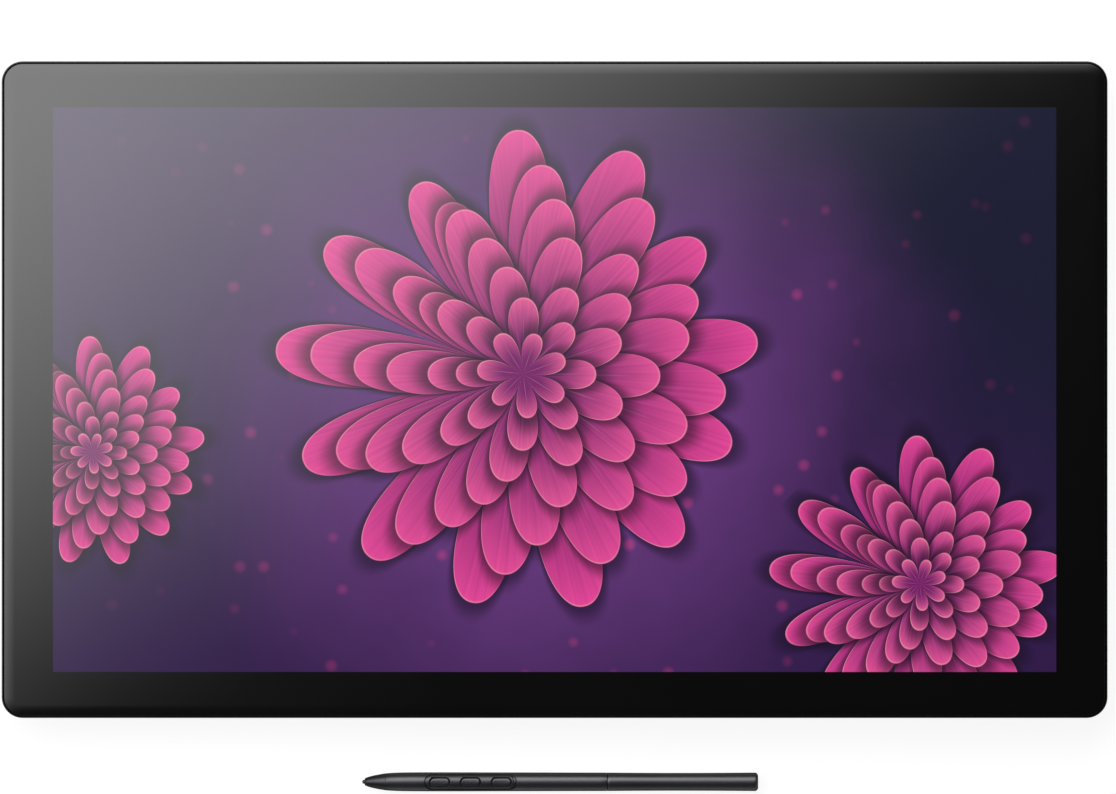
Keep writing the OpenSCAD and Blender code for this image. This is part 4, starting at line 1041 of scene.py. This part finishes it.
class PENDISPLAY_OT_pen_body(Operator):
    """The pen's nose, nib, barrel and tail"""

    bl_idname = "pendisplay.pen_body"
    bl_label = "Pen body"

    tail_gap: length("Tail gap", "Gap between barrel and tail", 0.03 * MM)
    neck_length: length("Neck", "Width of the groove at the joint", 0.24 * MM)
    neck_depth: length("Neck depth", "Depth of the groove at the joint", 0.06 * MM)
    tail_round: length("Tail round", "Radius of the rounding at the end", 1.3 * MM)

    # The tail's waist: distances from its end, and how far its radius falls short of the full one there.
    WAIST_PLACES, WAIST_DROPS = np.array([15, 6]) * MM, np.array([0.21, 0.15]) * MM

    def execute(self, context):
        pen = context.scene.pen_look
        self.put_nose(pen)
        self.put_nib()
        self.put_barrel(pen)
        self.put_tail(pen)
        return {"FINISHED"}

    def put_nose(self, pen):
        """Turned shell: the power curve outside, a bore for the nib and a widening cone inside."""
        along = np.linspace(MOUTH + 2 * SEAM_EDGE, pen.nose - 0.08 * MM, 40)
        outer = np.stack([along, pen_radius(pen, along)], 1)
        front = pen_radius(pen, MOUTH)
        seam = pen_radius(pen, pen.nose - TINY)
        profile = [[MOUTH + SEAM_EDGE, NIB_BORE], [MOUTH, NIB_BORE + SEAM_EDGE], [MOUTH, front - SEAM_EDGE], *outer,
                   [pen.nose - 0.02 * MM, seam - 0.03 * MM], [pen.nose, seam - 0.09 * MM], [pen.nose, BORE],
                   [pen.nose - 2 * MM, BORE - 0.6 * MM], [pen.nose - 4 * MM, NIB_BORE]]
        put_piece("turned_nose", [skin(turned_rings(profile), round_rows=True)], "pen_nose")

    def put_nib(self):
        """Turned rod with a ball end."""
        radius = (NIB_HIGH[2] - NIB_LOW[2]) / 2
        end = NIB_HIGH[0] - NIB_LOW[0]
        profile = np.concatenate([rounding(radius, 10), [[end, radius], [end, 0]]])
        put_piece("turned_nib", [skin(turned_rings(profile, 40))], "pen_nib")

    def put_barrel(self, pen):
        """Tube with a stadium window on top.

        At each station the outer wall runs round the axis from one edge of the window to the other, and closes to
        a full circle where there is no window. The bore does the same, and a wall joins both edges.
        """
        size, width = pen.plate_length + 2 * pen.seam, pen.plate_width + 2 * pen.seam
        tips = pen.plate_middle + np.array([-1, 1])[:, None] * (size / 2 + np.array([0.03, 0.07, 0.12, 0.3]) * MM)
        ends = np.array([0, 0.01 * MM, 0.03 * MM, SEAM_EDGE])
        along = np.unique(np.concatenate([
            np.linspace(pen.nose, pen.grip, 36), np.linspace(pen.grip, pen.joint, 24), tips.ravel(),
            pen.nose + ends, pen.joint - ends, stadium_stations(pen.plate_middle, size, width, 20)]).round(9))
        half = stadium_half(along, pen.plate_middle, size, width)
        outer = pen_radius(pen, along)
        turn = self.around(half, outer)
        station = along[:, None]
        over_top = np.where(np.cos(turn) > 0, outer[:, None] * np.sin(turn), width)
        depth = -stadium_depth(station, over_top, pen.plate_middle, size, width)
        seam_ends = np.minimum(station - pen.nose, pen.joint - station)
        drop = np.maximum(edge_drop(depth, pen.edge), edge_drop(seam_ends, SEAM_EDGE))
        radius = outer[:, None] - drop
        wall = on_pen(station, radius * np.sin(turn), radius * np.cos(turn))
        turn = self.around(np.minimum(half, np.sqrt(BORE ** 2 - WINDOW_FLOOR ** 2)), BORE)
        bore = on_pen(station, BORE * np.sin(turn), BORE * np.cos(turn))
        skins = [skin(np.concatenate([wall, bore[::-1]]), round_columns=False, round_rows=True)]
        rows = np.abs(along - pen.plate_middle) < size / 2 + TINY
        for column in (0, -1):
            top, low = wall[rows, column], bore[rows, column]
            step = np.stack([top[:, 0], top[:, 1], low[:, 2]], 1)
            skins.append(skin(np.stack([top, step, low], 1), round_columns=False))
        put_piece("barrel_tube", skins, "pen_barrel")

    def around(self, half, radius):
        """Turns from one edge of the window round the axis to the other, for the window's half width."""
        start = np.arcsin(half / radius)[:, None]
        return start + (2 * np.pi - 2 * start) * closing(97)

    def put_tail(self, pen):
        """Turned tail: a neck at the joint, a slow waist as a parabola, a rounded end, and a stepped bore."""
        start = pen.joint + self.tail_gap
        front = start + self.neck_length
        stations = np.array([front, *(pen.total - self.WAIST_PLACES)])
        radii = pen.diameter / 2 - np.array([BARREL_TAPER, *self.WAIST_DROPS])
        bend = np.polyfit(stations - front, radii, 2)
        along = np.linspace(front + SEAM_EDGE, pen.total - self.tail_round, 50)
        outer = np.stack([along, np.polyval(bend, along - front)], 1)
        inset, reach = top_edge(pen.total, self.tail_round, 10)[1:].T
        cap = np.stack([reach, outer[-1, 1] - inset], 1)
        low, high = span("pen_weight") - PEN_TIP
        neck = radii[0] - self.neck_depth
        inner = [[high[0], 0], [high[0], WEIGHT_BORE], [low[0], WEIGHT_BORE], [low[0], BORE], [start, BORE],
                 [start, neck], [front, neck], [front, radii[0] - SEAM_EDGE],
                 [front + 0.02 * MM, radii[0] - 0.02 * MM]]
        profile = np.concatenate([inner, outer, cap, [[pen.total, 0]]])
        put_piece("turned_tail", [skin(turned_rings(profile))], "pen_tail")


class PENDISPLAY_OT_pen_switches(Operator):
    """The pen's switch plate and its three side switches"""

    bl_idname = "pendisplay.pen_switches"
    bl_label = "Pen switches"

    proud: length("Proud", "How far a side switch stands above the plate", 0.12 * MM)
    base: length("Base", "Height of a side switch's underside above the axis", 0.8 * MM)
    flange: length("Flange", "Flange that holds a side switch under the plate", 0.7 * MM)
    skirt_low: length("Skirt", "Depth of the skirt that closes the seam", 0.85 * MM)
    skirt_thickness: length("Skirt thickness", "Thickness of that skirt", 0.12 * MM)
    latch_radius: length("Latch radius", "Radius of the latch line across the plate's rear end", 3.2 * MM)
    latch_inset: length("Latch inset", "Distance of the latch line from the plate's rear end", 0.8 * MM)
    latch_line: length("Latch line", "Width of the latch line", 0.46 * MM)
    latch_depth: length("Latch depth", "Depth of the latch line", 0.3 * MM)

    # The skirt: where it starts and bends inside the plate's outline, and its gap to the barrel.
    SKIRT_ROOT, SKIRT_BEND, SKIRT_GAP = 0.3 * MM, 0.1 * MM, 0.08 * MM
    # Hollow in a side switch, and the dot on the middle one.
    DIP, DOT_RADIUS, DOT_HEIGHT = 0.09 * MM, 0.42 * MM, 0.14 * MM

    def execute(self, context):
        pen = context.scene.pen_look
        self.put_plate(pen)
        for number, place in enumerate(("front", "middle", "rear")):
            self.put_button(pen, place, number - 1)
        return {"FINISHED"}

    def put_plate(self, pen):
        """Curved plate with three stadium windows.

        Each half is a grid of stations along the pen and shares across it, from the window's edge, or from the
        middle line where there is no window, to the plate's edge. The top follows the barrel and falls off in a
        quarter round at each edge, and a groove follows an arc across the rear end. The underside follows the bore.
        """
        middle, size, width = pen.plate_middle, pen.plate_length, pen.plate_width
        hole = (pen.button_length + 2 * pen.seam, pen.button_width + 2 * pen.seam)
        centres = middle + pen.button_pitch * np.array([-1, 0, 1])
        arc_middle = middle + size / 2 - self.latch_inset - self.latch_radius
        beyond = np.array([0.02, 0.05, 0.09, 0.14, 0.2]) * MM
        tips = centres[:, None, None] + np.array([-1, 1])[:, None] * (hole[0] / 2 + beyond)
        along = np.unique(np.concatenate([
            stadium_stations(middle, size, width, 20), *[stadium_stations(c, *hole, 16) for c in centres],
            np.linspace(arc_middle + 0.6 * self.latch_radius, middle + size / 2 - 0.3 * MM, 64),
            tips.ravel()]).round(9))
        outer = stadium_half(along, middle, size, width)
        inner = sum(stadium_half(along, c, *hole) for c in centres)
        across = inner[:, None] + (outer - inner)[:, None] * closing(41)
        station = np.broadcast_to(along[:, None], across.shape)
        drops = [edge_drop(np.maximum(stadium_depth(station, across, middle, size, width), 0), pen.edge)]
        drops += [edge_drop(np.maximum(-stadium_depth(station, across, c, *hole), 0), pen.edge) for c in centres]
        line = np.abs(np.hypot(station - arc_middle, across) - self.latch_radius) / (self.latch_line / 2)
        groove = self.latch_depth * np.clip(1 - line ** 2, 0, 1) ** 2 * (station > arc_middle)
        top = np.sqrt(pen_radius(pen, station) ** 2 - across ** 2) - np.maximum(np.max(drops, 0), groove)
        low = np.sqrt(BORE ** 2 - across ** 2)
        skins = []
        for side in (1, -1):
            upper = on_pen(station, side * across, top)
            under = on_pen(station, side * across, low)
            skins.append(skin(np.concatenate([under, upper[:, ::-1]], 1), round_columns=False))
            for centre in centres:
                rows = np.abs(along - centre) < hole[0] / 2 + TINY
                skins.append(skin(np.stack([upper[rows, 0], under[rows, 0]], 1), round_columns=False))
        skins.append(self.skirt(pen))
        put_piece("switch_plate", skins, "pen_switch_plate")

    def skirt(self, pen):
        """Thin skirt that closes the seam from below: stadium rings that follow the barrel at an even depth."""
        half = np.array([pen.plate_length, pen.plate_width]) / 2
        reach = pen.seam - self.SKIRT_GAP
        way_out = np.array([self.SKIRT_ROOT, *np.linspace(self.SKIRT_BEND, -reach, 5)])
        inset = np.concatenate([way_out, way_out[::-1]])
        rows = inset_rows(*half, half[1], np.stack([inset, 0 * inset], 1))
        rings = rect_rings(rows, np.array([pen.plate_middle, 0, 0]), 24)
        rings[..., 2] = np.sqrt(pen_radius(pen, rings[..., 0]) ** 2 - rings[..., 1] ** 2) - self.skirt_low
        rings[len(way_out):, :, 2] -= self.skirt_thickness
        return skin(rings[::-1] + PEN_TIP, round_rows=True)

    def put_button(self, pen, place, step):
        """Stadium rings from the flange up; the face follows a barrel of larger radius and rounds off at its edge."""
        centre = pen.plate_middle + step * pen.button_pitch
        half = np.array([pen.button_length, pen.button_width]) / 2
        edge = np.linspace(0, 1, 6) ** 1.6 * 2.2 * pen.edge
        face = np.linspace(0.42, 1, 7) * half[1]
        inset = np.concatenate([[-self.flange, -self.flange, 0], edge, face])
        shoulder = self.base + self.flange
        level = np.concatenate([[self.base, shoulder, shoulder], 0 * edge, 0 * face])
        rings = rect_rings(inset_rows(*half, half[1], np.stack([inset, level], 1)), np.array([centre, 0, 0]), 14)
        along, across = rings[3:, :, 0], rings[3:, :, 1]
        crown = np.sqrt((pen_radius(pen, along) + self.proud) ** 2 - across ** 2)
        dip = self.DIP * np.clip(1 - ((along - centre) / half[0]) ** 2, 0, 1)
        rings[3:, :, 2] = crown - edge_drop(inset[3:, None], 2 * pen.edge) - dip * (inset[3:, None] / half[1])
        skins = [skin(rings + PEN_TIP, first_cap=True)]
        if place == "middle":
            skins.append(self.dot(pen, centre))
        put_piece(f"side_switch_{place}", skins, f"pen_button_{place}")

    def dot(self, pen, centre):
        """Small dome that a finger can feel, as rings of a flattened ball."""
        turn = np.linspace(-0.3, np.pi / 2, 9)[:, None]
        spin = np.linspace(0, 2 * np.pi, 28, endpoint=False)
        top = pen_radius(pen, centre) + self.proud - self.DIP
        reach = self.DOT_RADIUS * np.cos(turn)
        rings = on_pen(centre + reach * np.cos(spin), reach * np.sin(spin), top + self.DOT_HEIGHT * np.sin(turn))
        return skin(rings, first_cap=True)


# Stage

def view_middle(stage):
    """Place on the glass that the camera looks at."""
    return np.array([SLATE_MIDDLE[0] + stage.view_x, SLATE_MIDDLE[1] + stage.view_y, GLASS_HIGH[2]])


def fade_near_edge(lamp, soft):
    """Lets a lamp's face fade out towards its near edge over a share of its depth."""
    lamp.use_nodes = True
    tree = lamp.node_tree
    depth = parts_of(signal_of(tree, "NewGeometry", "Parametric"))[1]
    give(tree.nodes["Emission"], {"Strength": graded(depth, 0.0, soft, 0.0, 1.0, "SMOOTHSTEP")})


SENSOR = 36.0
FLOOR_HALF, FLOOR_LEVEL = 15.0, -0.05 * MM
# What the floor gives back, matt and as an even glow: to other rays, to mirrored ones and to the camera's.
FLOOR_TONES = ((0.72, 0.0), (0.6, 0.4), (0.16, 0.9))
# Heights on the sphere of directions at which the fill light has faded, and the backdrop in mirrors.
FILL_END, BACKDROP_END = 0.75, 0.1
# The light from behind: its height, and the cosines at which it starts and is full.
BACK_RISE, BACK_START, BACK_FULL = 0.55, 0.62, 0.95


def seen(tree):
    """1 for rays from the camera, and 1 for those that a mirror or glass sends on."""
    rays = signals(add_node(tree, "LightPath"))
    return rays["Is Camera Ray"], rays["Is Glossy Ray"].math("MAXIMUM", rays["Is Transmission Ray"])


def pale(tree, matt, glow):
    """Matt white that takes shadows, and a share of plain white that doesn't."""
    lit = signal_of(tree, "BsdfDiffuse", 0, {"Color": grey(matt)})
    even = signal_of(tree, "Emission", 0, {"Color": grey(1.0), "Strength": glow})
    return signal_of(tree, "AddShader", 0, {0: lit, 1: even})


class PENDISPLAY_OT_stage(Operator):
    """Floor, soft lamp, fill light and the camera over the screen"""

    bl_idname = "pendisplay.stage"
    bl_label = "Stage"

    def execute(self, context):
        scene = context.scene
        stage = scene.stage_look
        scene.view_settings.view_transform = "Standard"
        self.put_camera(scene, stage)
        self.put_lamp(stage)
        self.put_floor()
        self.set_world(scene, stage)
        return {"FINISHED"}

    def put_camera(self, scene, stage):
        """Long lens straight above the view's middle, so that the view is as wide as wanted at the glass."""
        data = bpy.data.cameras.new("camera")
        data.sensor_width = SENSOR
        data.lens = SENSOR * stage.camera_height / stage.view_width
        data.clip_end = 100.0
        scene.camera = add_object("camera", data)
        scene.camera.location = view_middle(stage) + [0, 0, stage.camera_height]

    def put_lamp(self, stage):
        """Flat soft lamp whose near edge is mirrored in the glass along a slanting line."""
        data = bpy.data.lights.new("soft_lamp", "AREA")
        data.shape = "RECTANGLE"
        data.size = stage.lamp_width
        data.size_y = stage.lamp_depth
        data.energy = stage.lamp_radiance * np.pi * stage.lamp_width * stage.lamp_depth
        fade_near_edge(data, stage.lamp_soft / stage.lamp_depth)
        mirrored = stage.lamp_edge * (1 + stage.lamp_height / stage.camera_height)
        reach = mirrored + (stage.lamp_depth - stage.lamp_soft) / 2
        away = reach * np.array([-np.sin(stage.lamp_turn), np.cos(stage.lamp_turn), 0])
        lamp = add_object("soft_lamp", data)
        lamp.location = view_middle(stage) + away + [0, 0, stage.lamp_height]
        lamp.rotation_euler = (0, 0, stage.lamp_turn)
        lamp.visible_camera = False

    def put_floor(self):
        """Plain pale floor, white where it is seen, which keeps the shadow and is clear from below."""
        corners = np.array([[-1, -1, 0], [1, -1, 0], [1, 1, 0], [-1, 1, 0]]) * FLOOR_HALF + [0, 0, FLOOR_LEVEL]
        mesh = mesh_of("floor", corners, [(0, 1, 2, 3)])
        add_object("floor", mesh)
        material = bpy.data.materials.new("floor")
        material.use_nodes = True
        tree = material.node_tree
        tree.nodes.clear()
        camera, mirrored = seen(tree)
        shown, to_mirrors, to_camera = [pale(tree, *tone) for tone in FLOOR_TONES]
        shown = layered(camera, layered(mirrored, shown, to_mirrors), to_camera)
        under = signal_of(tree, "NewGeometry", "Backfacing")
        clear = signal_of(tree, "BsdfTransparent", 0)
        add_node(tree, "OutputMaterial", {"Surface": layered(under, shown, clear)})
        mesh.materials.append(material)

    def set_world(self, scene, stage):
        """Fill light that fades upwards; the camera sees plain white, and mirrors do near the horizon."""
        scene.world = bpy.data.worlds.new("studio")
        scene.world.use_nodes = True
        tree = scene.world.node_tree
        tree.nodes.clear()
        way = signal_of(tree, "TexCoord", "Generated")
        up = parts_of(way)[2]
        behind = np.array([-np.sin(stage.lamp_turn), np.cos(stage.lamp_turn), BACK_RISE])
        inputs = {0: way, 1: tuple(behind / np.linalg.norm(behind))}
        facing = signal_of(tree, "VectorMath", "Value", inputs, operation="DOT_PRODUCT")
        level = (graded(abs(up), 0.0, FILL_END, stage.horizon, stage.zenith, "SMOOTHSTEP")
                 + graded(facing, BACK_START, BACK_FULL, 0.0, stage.back, "SMOOTHSTEP"))
        fill, white = [signal_of(tree, "Background", 0, {"Color": grey(1.0), "Strength": strength})
                       for strength in (level, 1.0)]
        camera, mirrored = seen(tree)
        backdrop = graded(up, 0.0, BACKDROP_END, 1.0, 0.0, "SMOOTHSTEP")
        shown = camera.math("MAXIMUM", mirrored * backdrop)
        add_node(tree, "OutputWorld", {"Surface": layered(shown, fill, white)})


class PENDISPLAY_PT_panel(Panel):
    """Lists the pieces in the order in which they are made"""

    bl_idname = "PENDISPLAY_PT_panel"
    bl_label = "Pen display"
    bl_space_type = "VIEW_3D"
    bl_region_type = "UI"
    bl_category = "Pen display"

    def draw(self, context):
        for operator in OPERATORS:
            self.layout.operator(operator.bl_idname)


SETTINGS = {"screen_look": ScreenSettings, "casing_look": CasingSettings, "pen_look": PenSettings,
            "stage_look": StageSettings}
OPERATORS = (PENDISPLAY_OT_inner_parts, PENDISPLAY_OT_screen, PENDISPLAY_OT_front_frame, PENDISPLAY_OT_mouldings,
             PENDISPLAY_OT_keys, PENDISPLAY_OT_legs, PENDISPLAY_OT_fittings, PENDISPLAY_OT_cooling,
             PENDISPLAY_OT_pen_body, PENDISPLAY_OT_pen_switches, PENDISPLAY_OT_stage)


def register():
    for made in (*SETTINGS.values(), *OPERATORS, PENDISPLAY_PT_panel):
        bpy.utils.register_class(made)
    for name, group in SETTINGS.items():
        setattr(bpy.types.Scene, name, PointerProperty(type=group))


def unregister():
    for name in SETTINGS:
        delattr(bpy.types.Scene, name)
    for made in (PENDISPLAY_PT_panel, *reversed(OPERATORS), *reversed(SETTINGS.values())):
        bpy.utils.unregister_class(made)


def main():
    register()
    bpy.ops.pendisplay.inner_parts()
    bpy.ops.pendisplay.screen()
    bpy.ops.pendisplay.front_frame()
    bpy.ops.pendisplay.mouldings()
    bpy.ops.pendisplay.keys()
    bpy.ops.pendisplay.legs()
    bpy.ops.pendisplay.fittings()
    bpy.ops.pendisplay.cooling()
    bpy.ops.pendisplay.pen_body()
    bpy.ops.pendisplay.pen_switches()
    bpy.ops.pendisplay.stage()


if __name__ == "__main__":
    main()
